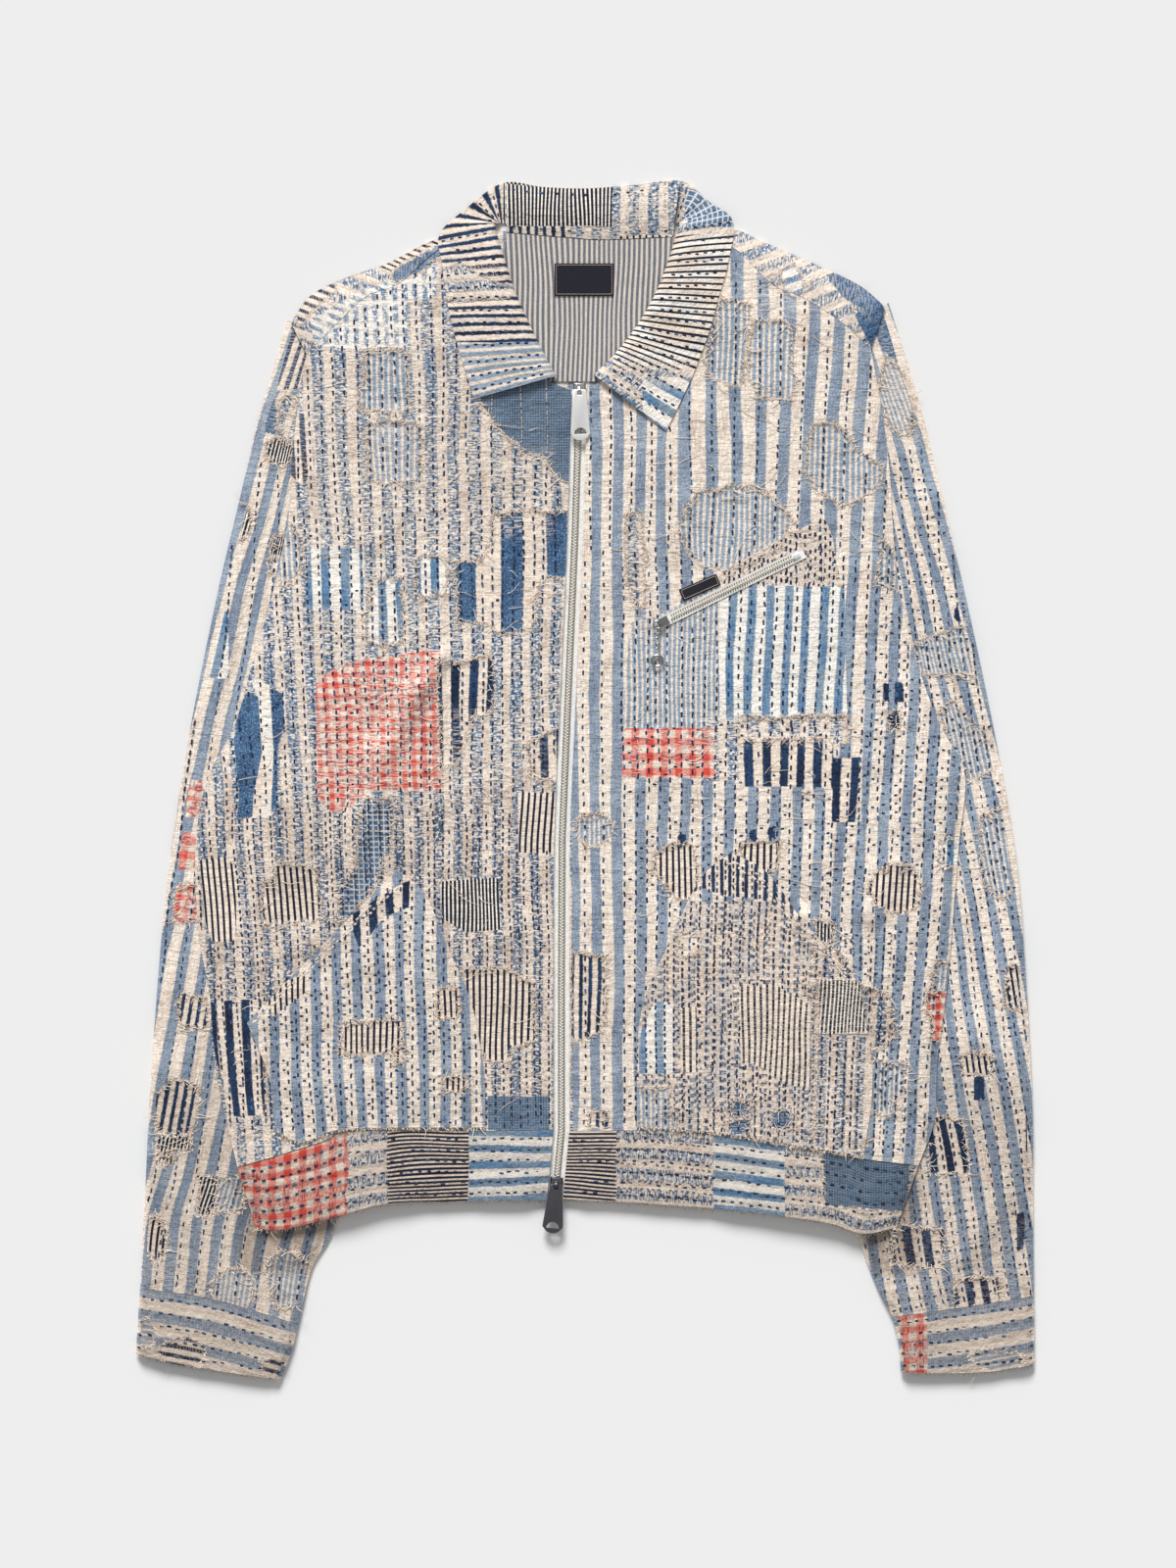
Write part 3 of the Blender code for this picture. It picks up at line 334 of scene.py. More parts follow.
def front_creases(places):
    """What creases and rumples add to the fronts, the pockets and the collar on them."""
    inner = smooth(off_sides(places) / 0.018)
    zip_off = smooth((off_line(places, ZIP_LINE) - ZIP_OPEN) / 0.02)
    swell = 0.0024 * rumple(places, 0.055, 3) + 0.0015 * rumple(places, 0.021, 4)
    fine = 0.0010 * rumple(places, 0.0085, 5)
    high = 0.0085 * np.tanh((swell + ridges(places, FRONT_CREASES)) / 0.0085)
    return inner * (0.25 + 0.75 * zip_off) * high + fine


def front_skin(places):
    """The upper side of the fronts, with their creases."""
    return front_low(places) + front_creases(places) + CLOTH


def lining_top(places):
    return back_top(places) + SEAM + LINING


def beside_body(places, start, reach):
    """0 under the body, rising to 1 beside it."""
    off = off_line(places, BODY_OUTLINE + BODY_OUTLINE[:1])
    return np.where(inside(places, BODY_OUTLINE), 0.0, smooth((off - start) / reach))


def sleeve_top(places):
    """Flat under the body, and puffed a little beside it."""
    beside = beside_body(places, PUFF_START, PUFF_REACH)
    return SLEEVE_FLAT + beside * (SLEEVE_PUFF + ridges(places, SLEEVE_FOLDS))


def sleeve_skin(places):
    """The sleeves' upper side, with its creases where the body doesn't lie on them."""
    swell = 0.0016 * rumple(places, 0.045, 8) + 0.0012 * rumple(places, 0.018, 9)
    creases = beside_body(places, 0.010, 0.014) * (swell + ridges(places, SLEEVE_CREASES))
    return sleeve_top(places) + creases


def rolled(share):
    """How far a flat tube's side has dropped, from 1 at its edge to 0 a whole share in."""
    return 1.0 - np.sqrt(np.clip(1.0 - (1.0 - np.clip(share, 0, 1)) ** 2, 0, 1))



# Colours of the yarns, and the tints of the painted shade and painted shadow laid over them.

YARNS = {
    "cream": (238, 222, 206), "white": (243, 237, 228), "dust": (218, 198, 180),
    "grey blue": (124, 138, 158), "faded blue": (158, 170, 184), "sky": (138, 158, 176),
    "mid blue": (86, 127, 166), "deep blue": (48, 80, 118), "denim": (82, 115, 150),
    "check blue": (42, 76, 106), "navy": (32, 40, 64), "black": (36, 36, 46),
    "red": (212, 78, 68), "pink": (228, 146, 131), "ticking blue": (84, 92, 106),
    "ecru": (216, 210, 202), "fray shadow": (164, 146, 130), "thread": (38, 48, 76),
    # The brown tint below is multiplied over the cloth as painted shade.
    "soil": (112, 94, 78), "tape": (250, 249, 245), "tan": (224, 203, 186), "slate": (78, 92, 114),
}


def yarn(name):
    """The yarn's colour as the shader takes it."""
    parts = [value / 255.0 for value in YARNS[name]]
    return tuple(((v + 0.055) / 1.055) ** 2.4 for v in parts) + (1.0,)


class Finish:
    """Lays out the nodes of one material."""

    def __init__(self, name):
        self.material = bpy.data.materials.new(name)
        self.material.use_nodes = True
        self.tree = self.material.node_tree
        self.shader = self.tree.nodes["Principled BSDF"]

    def plug(self, socket, value):
        if isinstance(value, bpy.types.NodeSocket):
            self.tree.links.new(value, socket)
        else:
            socket.default_value = value

    def dress(self, node, **inputs):
        """Plugs in a node's inputs by name."""
        for name, value in inputs.items():
            self.plug(node.inputs[name.replace("_", " ")], value)
        return node

    def node(self, kind, **inputs):
        return self.dress(self.tree.nodes.new("ShaderNode" + kind), **inputs)

    def mix(self, share, under, over, blend="MIX"):
        """Lays one colour over another. MULTIPLY darkens, as the painted shade does, and dark yarns
        stay dark.
        """
        made = self.node("Mix")
        made.data_type = "RGBA"
        made.blend_type = blend
        self.plug(made.inputs[0], share)
        self.plug(made.inputs[6], yarn(under) if isinstance(under, str) else under)
        self.plug(made.inputs[7], yarn(over) if isinstance(over, str) else over)
        return made.outputs[2]


class Dyer(Finish):
    """One cloth's colour and relief. Lengths are metres on the cloth."""

    def __init__(self, name, roughness=0.9):
        super().__init__(name)
        self.dress(self.shader, Roughness=roughness, Specular_IOR_Level=0.15,
                   Sheen_Weight=0.06, Sheen_Roughness=0.5)
        chart = self.node("UVMap")
        chart.uv_map = "grain"
        self.grain = chart.outputs[0]
        split = self.node("SeparateXYZ")
        self.plug(split.inputs[0], self.grain)
        self.across, self.along = split.outputs[0], split.outputs[1]

    def calc(self, operation, *values):
        made = self.node("Math")
        made.operation = operation
        for socket, value in zip(made.inputs, values):
            self.plug(socket, value)
        return made.outputs[0]

    def add(self, total, *values):
        for value in values:
            total = self.calc("ADD", total, value)
        return total

    def times(self, total, *values):
        for value in values:
            total = self.calc("MULTIPLY", total, value)
        return total

    def less(self, value, taken):
        return self.calc("SUBTRACT", value, taken)

    def sway(self, value, reach):
        """An uneven value turned to one that goes to both sides of 0."""
        return self.times(self.less(value, 0.5), reach)

    def off_middle(self, turns):
        """Distance from the middle of each whole turn, 0 to 0.5."""
        return self.calc("ABSOLUTE", self.less(self.calc("FRACT", turns), 0.5))

    def rise(self, value, low, high):
        """0 below low and 1 above high."""
        return self.node("MapRange", Value=value, From_Min=low, From_Max=high).outputs["Result"]

    def noise(self, across, along, seed, detail=0.0, rough=0.5):
        """Uneven values round 0.5, about this wide and this long."""
        place = self.node("Mapping", Vector=self.grain, Location=(seed * 7.31, seed * 3.77, 0.0),
                          Scale=(1.0 / across, 1.0 / along, 1.0))
        made = self.node("TexNoise", Scale=1.0, Detail=detail, Roughness=rough)
        made.noise_dimensions = "2D"
        self.plug(made.inputs["Vector"], place.outputs[0])
        return made.outputs["Fac"]

    def chance(self, value, seed):
        """A random number for each whole number."""
        made = self.node("TexWhiteNoise")
        made.noise_dimensions = "1D"
        self.plug(made.inputs["W"], self.calc("ADD", value, seed))
        return made.outputs["Value"]

    def mask(self, name):
        made = self.node("Attribute")
        made.attribute_name = name
        return made.outputs["Fac"]

    def bars(self, place, pitch, share, soft=0.0004, shift=0.0):
        """1 on bars across this coordinate, each share of the pitch wide."""
        off = self.off_middle(self.calc("MULTIPLY_ADD", place, 1.0 / pitch, shift))
        half, edge = share / 2, soft / pitch
        return self.less(1.0, self.rise(off, half - edge, half + edge))

    def ready(self):
        """Noises that every fabric of the cloth shares."""
        self.wander = self.noise(0.045, 0.090, 1.0, 1.0)
        self.cloud = self.noise(0.016, 0.034, 2.0, 2.0)
        self.slub = self.noise(0.0009, 0.0070, 3.0)
        self.pick = self.noise(0.0060, 0.0009, 4.0)
        self.grit = self.noise(0.0011, 0.0012, 5.0, 1.0)
        self.fuzz = self.noise(0.0018, 0.0026, 10.0, 1.0)
        self.swayed = self.add(self.across, self.sway(self.wander, 0.0060))
        self.wavy = self.add(self.swayed, self.sway(self.fuzz, 0.0011))
        self.level = self.add(self.along, self.sway(self.cloud, 0.0026))
        rubbing = self.add(self.times(self.cloud, 0.6), self.times(self.grit, 0.4))
        self.worn = self.rise(rubbing, 0.40, 0.62)

    # Fabrics. Each returns a colour.

    def blue(self, dark, light):
        """Indigo cotton, rubbed lighter in spots."""
        rubbed = self.mix(self.worn, dark, light)
        return self.mix(self.times(self.rise(self.slub, 0.52, 0.74), 0.5), rubbed, light)

    def wide_stripes(self):
        """Grey blue on cream cotton, both a little uneven."""
        on = self.bars(self.wavy, 0.0153, 0.47)
        warm = self.mix(self.rise(self.cloud, 0.26, 0.46), "dust", "cream")
        warm = self.mix(self.times(self.rise(self.slub, 0.46, 0.70), 0.6), warm, "white")
        return self.mix(on, warm, self.blue("grey blue", "faded blue"))

    def sky_stripes(self, pitch, share):
        on = self.bars(self.wavy, pitch, share)
        return self.mix(on, "cream", self.blue("sky", "faded blue"))

    def blue_bars(self):
        on = self.bars(self.wavy, 0.0118, 0.46)
        worn = self.times(self.rise(self.fuzz, 0.54, 0.64), self.rise(self.cloud, 0.38, 0.52), 0.6)
        return self.mix(on, "white", self.mix(worn, self.blue("mid blue", "sky"), "faded blue"))

    def navy_bars(self, pitch, share):
        on = self.bars(self.wavy, pitch, share)
        return self.mix(on, "cream", self.navy())

    def fine_lines(self, pitch, share):
        on = self.bars(self.swayed, pitch, share, 0.0001)
        return self.mix(on, "cream", self.mix(self.grit, "black", "navy"))

    def dense_lines(self):
        return self.mix(self.bars(self.swayed, 0.0027, 0.61, 0.0001), "white", "black")

    def thin_lines(self):
        return self.mix(self.bars(self.swayed, 0.0045, 0.34, 0.0001), self.plain(), "black")

    def navy(self):
        """Navy cotton, rubbed in spots."""
        return self.mix(self.times(self.worn, 0.7), "navy", "deep blue")

    def light_bars(self):
        """Short pale blue bars on white."""
        on = self.bars(self.wavy, 0.0062, 0.50)
        rows = self.bars(self.level, 0.0150, 0.76, 0.0012)
        blue = self.mix(self.worn, "mid blue", "faded blue")
        return self.mix(self.times(on, rows, self.rise(self.fuzz, 0.36, 0.46)), "white", blue)

    def denim_bars(self):
        """Broad indigo bars with cream between them."""
        return self.mix(self.bars(self.wavy, 0.0304, 0.49, 0.0004, 0.1776), "cream", self.denim())

    def gingham(self, pitch, fade, darn):
        """Red check, faded and darned where it is thin."""
        across = self.bars(self.wavy, pitch, 0.5, 0.0006)
        along = self.bars(self.level, pitch * 1.08, 0.5, 0.0006)
        both = self.times(self.add(across, along), 0.5)
        pink = self.mix(self.rise(both, 0.05, 0.5), "cream", "pink")
        red = self.mix(self.rise(both, 0.5, 0.95), pink, "red")
        thin = self.rise(self.cloud, 0.43, 0.53)
        faded = self.times(self.rise(self.pick, 0.46, 0.56), thin, fade)
        worn = self.mix(faded, red, "cream")
        return self.mix(self.times(self.rise(self.fuzz, 0.52, 0.62), thin, darn), worn, "slate")

    def pale_check(self, pitch, dark, light, share, strength):
        """Indigo with thin pale lines both ways."""
        across = self.bars(self.across, pitch, share, 0.0003)
        along = self.bars(self.along, pitch, share, 0.0003)
        both = self.calc("MAXIMUM", across, along)
        field = self.mix(self.times(self.worn, 0.25), dark, "sky")
        return self.mix(self.times(both, strength), field, light)

    def denim(self):
        speck = self.times(self.rise(self.grit, 0.54, 0.68), 0.5)
        return self.mix(speck, self.blue("deep blue", "denim"), "sky")

    def plain(self):
        return self.mix(self.rise(self.cloud, 0.4, 0.6), "white", "cream")

    def boro(self, blues, share, bright):
        """Worn stripes: whole cream columns between columns worn to loose blue and white yarns."""
        at = self.times(self.wavy, 1.0 / 0.0136)
        column = self.calc("FLOOR", at)
        step = self.calc("FLOOR", self.add(self.times(self.along, 1.0 / 0.046),
                                           self.times(self.chance(column, 2.5), 3.0)))
        luck = self.chance(self.add(self.times(column, 17.0), step), 0.5)
        in_blue = self.rise(self.less(share / 2, self.off_middle(at)), -0.02, 0.03)
        cool = self.mix(self.rise(luck, 0.10, 0.75), *blues)
        lucky = self.rise(self.chance(step, 4.5), 0.66, 0.72)
        cool = self.mix(self.times(lucky, bright), cool, "mid blue")
        torn = self.rise(self.noise(0.0029, 0.0015, 6.0, 1.0), 0.49, 0.56)
        pale = self.mix(self.rise(luck, 0.3, 0.8), "white", "cream")
        lacy = self.mix(self.times(torn, 0.85), cool, pale)
        deep = self.rise(self.noise(0.0022, 0.0017, 16.0, 1.0), 0.51, 0.58)
        lacy = self.mix(self.times(deep, 0.85), lacy, "slate")
        clean = self.rise(self.cloud, 0.34, 0.34 + 0.24 * (1.2 - bright))
        nicks = self.times(self.rise(self.noise(0.0020, 0.0016, 7.0, 1.0), 0.57, 0.65), 0.5)
        solid = self.mix(nicks, self.mix(clean, "dust", "cream"), blues[0])
        picks = self.times(self.rise(self.pick, 0.54, 0.62), self.rise(self.cloud, 0.40, 0.54), 0.8)
        return self.mix(picks, self.mix(in_blue, solid, lacy), "cream")

    def rice_lines(self):
        """Short dark dashes in close columns on dusty cotton."""
        mottled = self.mix(self.rise(self.fuzz, 0.42, 0.56), "dust", "cream")
        mottled = self.mix(self.times(self.rise(self.grit, 0.54, 0.62), 0.5), mottled, "faded blue")
        return self.mix(self.ticks(0.0030, 0.0056, 0.0, 0.23), mottled, "navy")

    def rice(self):
        """Cream with a column of dark dashes, then one of blue grey, in turn."""
        pitch = 0.0106
        field = self.mix(self.rise(self.fuzz, 0.44, 0.60), "dust", "cream")
        cool = self.times(self.rise(self.cloud, 0.40, 0.56), self.rise(self.grit, 0.44, 0.56), 0.7)
        field = self.mix(cool, field, "faded blue")
        field = self.mix(self.times(self.ticks(pitch, 0.0054, 0.5, 0.15), 0.9), field, "slate")
        field = self.mix(self.ticks(pitch, 0.0048, 0.0, 0.085), field, "navy")
        return self.mix(self.ticks(pitch, 0.0050, 0.27, 0.06), field, "slate")

    def ticks(self, pitch, step, shift, half):
        """1 on short upright stitches in close columns, each half a share of the pitch wide."""
        at = self.calc("MULTIPLY_ADD", self.wavy, 1.0 / pitch, shift)
        near = self.less(1.0, self.rise(self.off_middle(at), half * 0.8, half * 1.25))
        up = self.add(self.times(self.along, 1.0 / step), self.chance(self.calc("FLOOR", at), 9.5))
        short = self.less(1.0, self.rise(self.off_middle(up), 0.24, 0.32))
        kept = self.rise(self.noise(0.004, 0.006, 8.0), 0.36, 0.42)
        return self.times(near, short, kept)

    def finish(self, colour, relief):
        """Plugs the colour in, shaded a little by its yarns, and the relief in millimetres."""
        shade = self.calc("MULTIPLY_ADD", self.slub, 0.26, 0.86)
        shade = self.add(shade, self.sway(self.grit, 0.36))
        grey = self.node("CombineColor")
        for socket in grey.inputs[:3]:
            self.plug(socket, shade)
        shaded = self.mix(1.0, colour, grey.outputs[0], "MULTIPLY")
        bump = self.node("Bump", Strength=0.8, Distance=MM, Height=relief)
        self.dress(self.shader, Base_Color=shaded, Normal=bump.outputs[0])
        return self.material


# Each fabric, with its pitch and its share of dark where it comes in more than one.
FABRICS = {
    "stripes": (Dyer.wide_stripes,), "sky": (Dyer.sky_stripes, 0.0035, 0.62),
    "light stripes": (Dyer.sky_stripes, 0.0048, 0.60), "blue bars": (Dyer.blue_bars,),
    "navy bars": (Dyer.navy_bars, 0.0118, 0.49), "navy lines": (Dyer.navy_bars, 0.0061, 0.44),
    "bold lines": (Dyer.navy_bars, 0.0074, 0.48), "fine lines": (Dyer.fine_lines, 0.0042, 0.41),
    "band lines": (Dyer.fine_lines, 0.0027, 0.56), "dense lines": (Dyer.dense_lines,),
    "thin lines": (Dyer.thin_lines,), "gingham": (Dyer.gingham, 0.0071, 0.70, 0.55),
    "broad gingham": (Dyer.gingham, 0.0098, 0.45, 0.40), "light bars": (Dyer.light_bars,),
    "micro check": (Dyer.pale_check, 0.0018, "check blue", "faded blue", 0.35, 0.60),
    "window check": (Dyer.pale_check, 0.0037, "denim", "white", 0.22, 0.85),
    "boro": (Dyer.boro, ("grey blue", "sky"), 0.56, 0.8),
    "close boro": (Dyer.boro, ("slate", "grey blue"), 0.50, 0.2),
    "denim": (Dyer.denim,), "denim bars": (Dyer.denim_bars,), "navy": (Dyer.navy,),
    "plain": (Dyer.plain,), "rice": (Dyer.rice,), "rice lines": (Dyer.rice_lines,),
}


def cloth_material(name, base, masks):
    """A patched cloth: the base, then each fabric where its mask is above 0, then the worn places,
    the painted shade, the close stitching, and the torn rims with a thin painted shadow inside
    each."""
    dyer = Dyer(name)
    dyer.ready()
    blotch = dyer.sway(dyer.noise(0.006, 0.006, 11.0, 2.0, 0.6), 0.0050)
    shred = dyer.sway(dyer.noise(0.0010, 0.0032, 12.0), 0.0026)
    free = dyer.calc("MULTIPLY_ADD", dyer.mask("loose"), 0.85, 0.15)
    ragged = dyer.times(dyer.add(blotch, shred), free)
    colour = FABRICS[base][0](dyer, *FABRICS[base][1:])
    for fabric in masks:
        if fabric in FABRICS and fabric != base:
            weave, *sizes = FABRICS[fabric]
            reach = dyer.rise(dyer.add(dyer.mask(fabric), ragged), -0.0002, 0.0003)
            colour = dyer.mix(reach, colour, weave(dyer, *sizes))
    worn = dyer.times(dyer.mask("wear"), dyer.rise(dyer.pick, 0.49, 0.57), 0.80)
    colour = dyer.mix(worn, colour, "cream")
    # Painted shade: darker towards the hem and cuffs, and the waistband's shadow on the sleeves.
    painted_shading = dyer.times(dyer.mask("soil"), dyer.calc("MULTIPLY_ADD", dyer.cloud, 0.5, 0.75))
    colour = dyer.mix(painted_shading, colour, "soil", "MULTIPLY")
    tick = dyer.times(dyer.ticks(0.0053, 0.0040, 0.0, 0.68 / 5.3), dyer.mask("ticks"), 0.9)
    colour = dyer.mix(tick, colour, "navy")
    rim = dyer.add(dyer.mask("rim"), ragged)
    out = dyer.times(rim, -1.0)
    uneven = dyer.add(rim, dyer.sway(dyer.fuzz, 0.0042))
    lip = dyer.times(dyer.rise(uneven, -0.0015, -0.0007), dyer.rise(out, -0.0002, 0.0005))
    tufts = dyer.rise(dyer.noise(0.0009, 0.0009, 15.0, 1.0), 0.40, 0.58)
    colour = dyer.mix(dyer.times(lip, 0.95), colour, dyer.mix(tufts, "tan", "cream"))
    # A thin painted shadow just inside each torn rim, under its lip, in the fray shadow colour.
    line = dyer.times(dyer.rise(rim, -0.0004, 0.0001), dyer.rise(out, -0.0010, -0.0003), 0.40)
    colour = dyer.mix(line, colour, "fray shadow")
    quilt = dyer.calc("ABSOLUTE", dyer.calc("SINE", dyer.times(dyer.wavy, math.pi / 0.0078)))
    lumps = dyer.noise(0.0060, 0.0042, 13.0, 2.0, 0.6)
    creased = dyer.noise(0.030, 0.0050, 14.0, 2.0, 0.55)
    heights = ((quilt, 0.45), (lumps, 1.5), (creased, 0.9), (dyer.pick, 0.22), (dyer.grit, 0.36),
               (dyer.fuzz, 0.30), (lip, 0.6))
    return dyer.finish(colour, dyer.add(*(dyer.times(*pair) for pair in heights)))
# Patches and holes, in millimetres over the laid jacket. A torn edge has a frayed rim, a
# sewn one has none. Four numbers are the left, right, low and high sides of a square or an
# oval, and a list gives the places that the edge runs through.
PATCHES = {}
PATCHES["front"] = [
    # The wearer's right front, from the neck down.
    ("close boro", [(-280, -12), (-190, -14), (-150, -22), (-95, -8), (-60, 4), (-10, 2),
     (-8, -250), (-290, -250)]),
    ("light bars", [(-190, 319), (-160, 337), (-138, 345), (-103, 360), (-103, 335), (-124, 330),
     (-122, 301), (-160, 298), (-189, 303)]),
    ("micro check", [(-75, 262), (-73, 288), (-8, 288), (-8, 206), (-17, 209), (-23, 214),
     (-27, 223), (-42, 225), (-46, 232), (-57, 239), (-63, 247)], "torn"),
    ("bold lines", [(-206, 258), (-192, 252), (-187, 218), (-196, 203), (-206, 212)]),
    ("sky", (-154, -123, 254, 297), "torn"), ("sky", (-150, -116, 206, 246), "torn"),
    ("sky", (-214, -196, 136, 178), "torn", "oval"),
    ("denim bars", [(-90, 152), (-73, 153), (-66, 170), (-66, 184), (-11, 186), (-11, 142),
     (-32, 139), (-38, 104), (-57, 99), (-66, 108), (-90, 111)], "torn"),
    ("blue bars", (-192, -154, 118, 161)), ("blue bars", (-150, -127, 96, 141), "torn"),
    ("blue bars", (-116, -96, 128, 156), "torn"),
    ("gingham", [(-186, 67), (-176, 75), (-155, 84), (-100, 90), (-98, -8), (-150, -7), (-160, -18),
     (-175, -22), (-187, -12)]),
    ("navy bars", [(-100, 82), (-64, 84), (-64, 48), (-78, 44), (-88, 12), (-100, 8)], "torn"),
    ("navy bars", [(-39, 25), (-18, 36), (-18, 1), (-38, 3)], "torn"),
    ("denim", [(-234, 61), (-226, 58), (-224, 18), (-230, -10), (-231, -26), (-242, -26),
     (-239, -6), (-244, 26), (-240, 50)]),
    ("plain", [(-232, 70), (-218, 66), (-216, 20), (-218, -26), (-231, -26), (-230, -10),
     (-224, 18), (-226, 58)]),
    ("denim", [(-217, 64), (-209, 60), (-208, 38), (-213, 22), (-214, -20), (-218, -20),
     (-216, 20)]),
    ("window check", [(-151, -13), (-134, -14), (-133, -50), (-142, -58), (-147, -76), (-162, -93),
     (-174, -97), (-170, -74), (-158, -58), (-156, -36)], "torn"),
    ("fine lines", (-47, -20, -50, -8)),
    ("fine lines", [(-267, -55), (-249, -53), (-242, -62), (-242, -112), (-258, -112),
     (-264, -96)]),
    ("fine lines", [(-214, -60), (-185, -60), (-185, -97), (-221, -100), (-222, -72),
     (-214, -71)], "torn"),
    ("dense lines", [(-101, -70), (-60, -68), (-58, -104), (-82, -106), (-98, -96)]),
    ("fine lines", [(-87, -134), (-56, -131), (-35, -143), (-36, -180), (-52, -184), (-54, -196),
     (-70, -194), (-81, -160)], "torn"),
    ("navy bars", [(-260, -154), (-224, -152), (-222, -232), (-246, -234), (-257, -190)]),
    ("micro check", (-68, -24, -243, -219)),
    # The shoulders, then the wearer's left front from the neck down.
    ("denim", [(167, 351), (180, 352), (194, 344), (206, 330), (216, 308), (220, 280), (206, 299),
     (199, 299), (192, 312), (186, 322), (192, 326), (179, 333), (172, 343)]),
    ("denim", [(-99, 375), (-101, 364), (-129, 343), (-132, 348), (-119, 363)], "torn"),
    ("fine lines", [(-103, 384), (-100, 376), (-119, 364), (-134, 349), (-142, 356),
     (-122, 374)], "torn"),
    ("navy lines", [(-204, 334), (-192, 344), (-176, 352), (-172, 340), (-186, 330),
     (-200, 316)], "torn"),
    ("blue bars", [(133, 352), (144, 356), (154, 342), (148, 336), (137, 340)], "torn"),
    ("sky", [(94, 331), (113, 328), (115, 305), (112, 290), (111, 275), (104, 274), (88, 279),
     (84, 290), (88, 311)], "torn"),
    ("sky", [(117, 317), (137, 318), (142, 313), (145, 290), (148, 276), (142, 262), (120, 264),
     (115, 290)], "torn"),
    ("sky", [(156, 245), (170, 246), (181, 239), (188, 230), (206, 216), (204, 203), (193, 195),
     (179, 188), (168, 197), (160, 199), (153, 213), (152, 232)], "torn"),
    ("sky", [(78, 198), (92, 199), (99, 204), (115, 204), (127, 197), (144, 178), (134, 162),
     (117, 152), (99, 146), (82, 148), (71, 154), (67, 171), (70, 187)], "torn"),
    ("rice lines", [(104, 150), (139, 169), (166, 181), (172, 168), (178, 134), (143, 134),
     (90, 132), (92, 142)]),
    ("boro", [(28, 184), (38, 185), (41, 150), (40, 121), (34, 121), (29, 140), (27, 160)], "torn"),
    ("sky", [(26, 35), (93, 35), (93, 136), (60, 119), (48, 113), (31, 110)]),
    ("blue bars", [(93, 41), (181, 41), (180, 133), (143, 135), (93, 136)]),
    ("sky", [(206, 168), (214, 156), (218, 133), (201, 135)], "torn"), ("boro", (84, 110, 0, 42)),
    ("boro", (106, 182, 28, 42), "torn"), ("broad gingham", (26, 90, 2, 36)),
    ("navy bars", (108, 172, -5, 30)), ("navy bars", (171, 192, -29, 16)),
    ("navy", (215, 221, 54, 68)), ("navy", (207, 211, 54, 67)),
    ("navy", (212, 219, 34, 47), "torn"), ("sky", (-6, 18, -44, -22), "torn", "oval"),
    ("fine lines", [(48, -49), (61, -45), (75, -46), (77, -60), (77, -83), (63, -84), (53, -71),
     (47, -60)], "torn"),
    ("navy", (114, 119, -46, -34)), ("navy", (126, 131, -46, -33)),
    ("fine lines", (108, 133, -62, -44), "torn"),
    ("fine lines", (196, 232, -93, -58), "torn", "oval"), ("navy", (206, 210, -65, -57)),
    ("navy", (217, 221, -65, -57)), ("navy", (64, 70, -46, -38)),
    ("navy lines", [(-8, -119), (16, -122), (15, -160), (9, -172), (0, -180), (-9, -178)], "torn"),
    ("navy lines", (2, 15, -241, -230), "torn"),
    ("dense lines", [(158, -98), (172, -100), (170, -116), (160, -112)], "torn"),
    ("dense lines", [(162, -136), (190, -142), (189, -176), (166, -172)], "torn"),
    ("close boro", [(150, -108), (176, -120), (186, -140), (210, -150), (216, -176), (197, -190),
     (196, -254), (160, -254), (158, -170)], "torn"),
    ("sky", [(198, -194), (211, -197), (223, -194), (220, -216), (211, -232), (196, -230)], "torn"),
    ("blue bars", (245, 258, -60, -41), "torn"), ("sky", (242, 254, -150, -128), "torn"),
    ("gingham", (238, 256, -180, -148), "torn"),
]
PATCHES["pocket"] = [
    ("navy bars", [(-165, -95), (-121, -68), (-122, -88), (-140, -96), (-157, -116)]),
    ("fine lines", (-170, -127, -190, -167), "torn"),
    ("fine lines", (-133, -126, -198, -186), "torn"),
    ("fine lines", [(-224, -152), (-194, -132), (-192, -146), (-216, -164)]),
    ("fine lines", (-104, -90, -165, -144), "torn"), ("fine lines", (-98, -83, -215, -205), "torn"),
    ("rice", (30, 202, -280, -84)),
    ("navy lines", [(70, -82), (90, -44), (110, -44), (160, -88), (148, -98), (128, -84), (96, -80),
     (80, -74)]),
    ("fine lines", [(107, -142), (131, -141), (156, -155), (156, -214), (136, -210), (123, -200),
     (107, -194)]),
    ("fine lines", (66, 77, -202, -157)),
    ("blue bars", [(38, -175), (48, -153), (61, -154), (61, -203), (36, -203)]),
    ("sky", (36, 61, -246, -212), "torn"), ("plain", (63, 78, -122, -106), "torn"),
    ("denim", (101, 114, -234, -222), "torn"), ("denim", (101, 114, -247, -237), "torn"),
    ("denim", (129, 143, -240, -228), "torn"),
    ("close boro", [(158, -118), (200, -118), (204, -280), (160, -280)], "torn"),
    ("dense lines", (161, 196, -176, -138)),
]
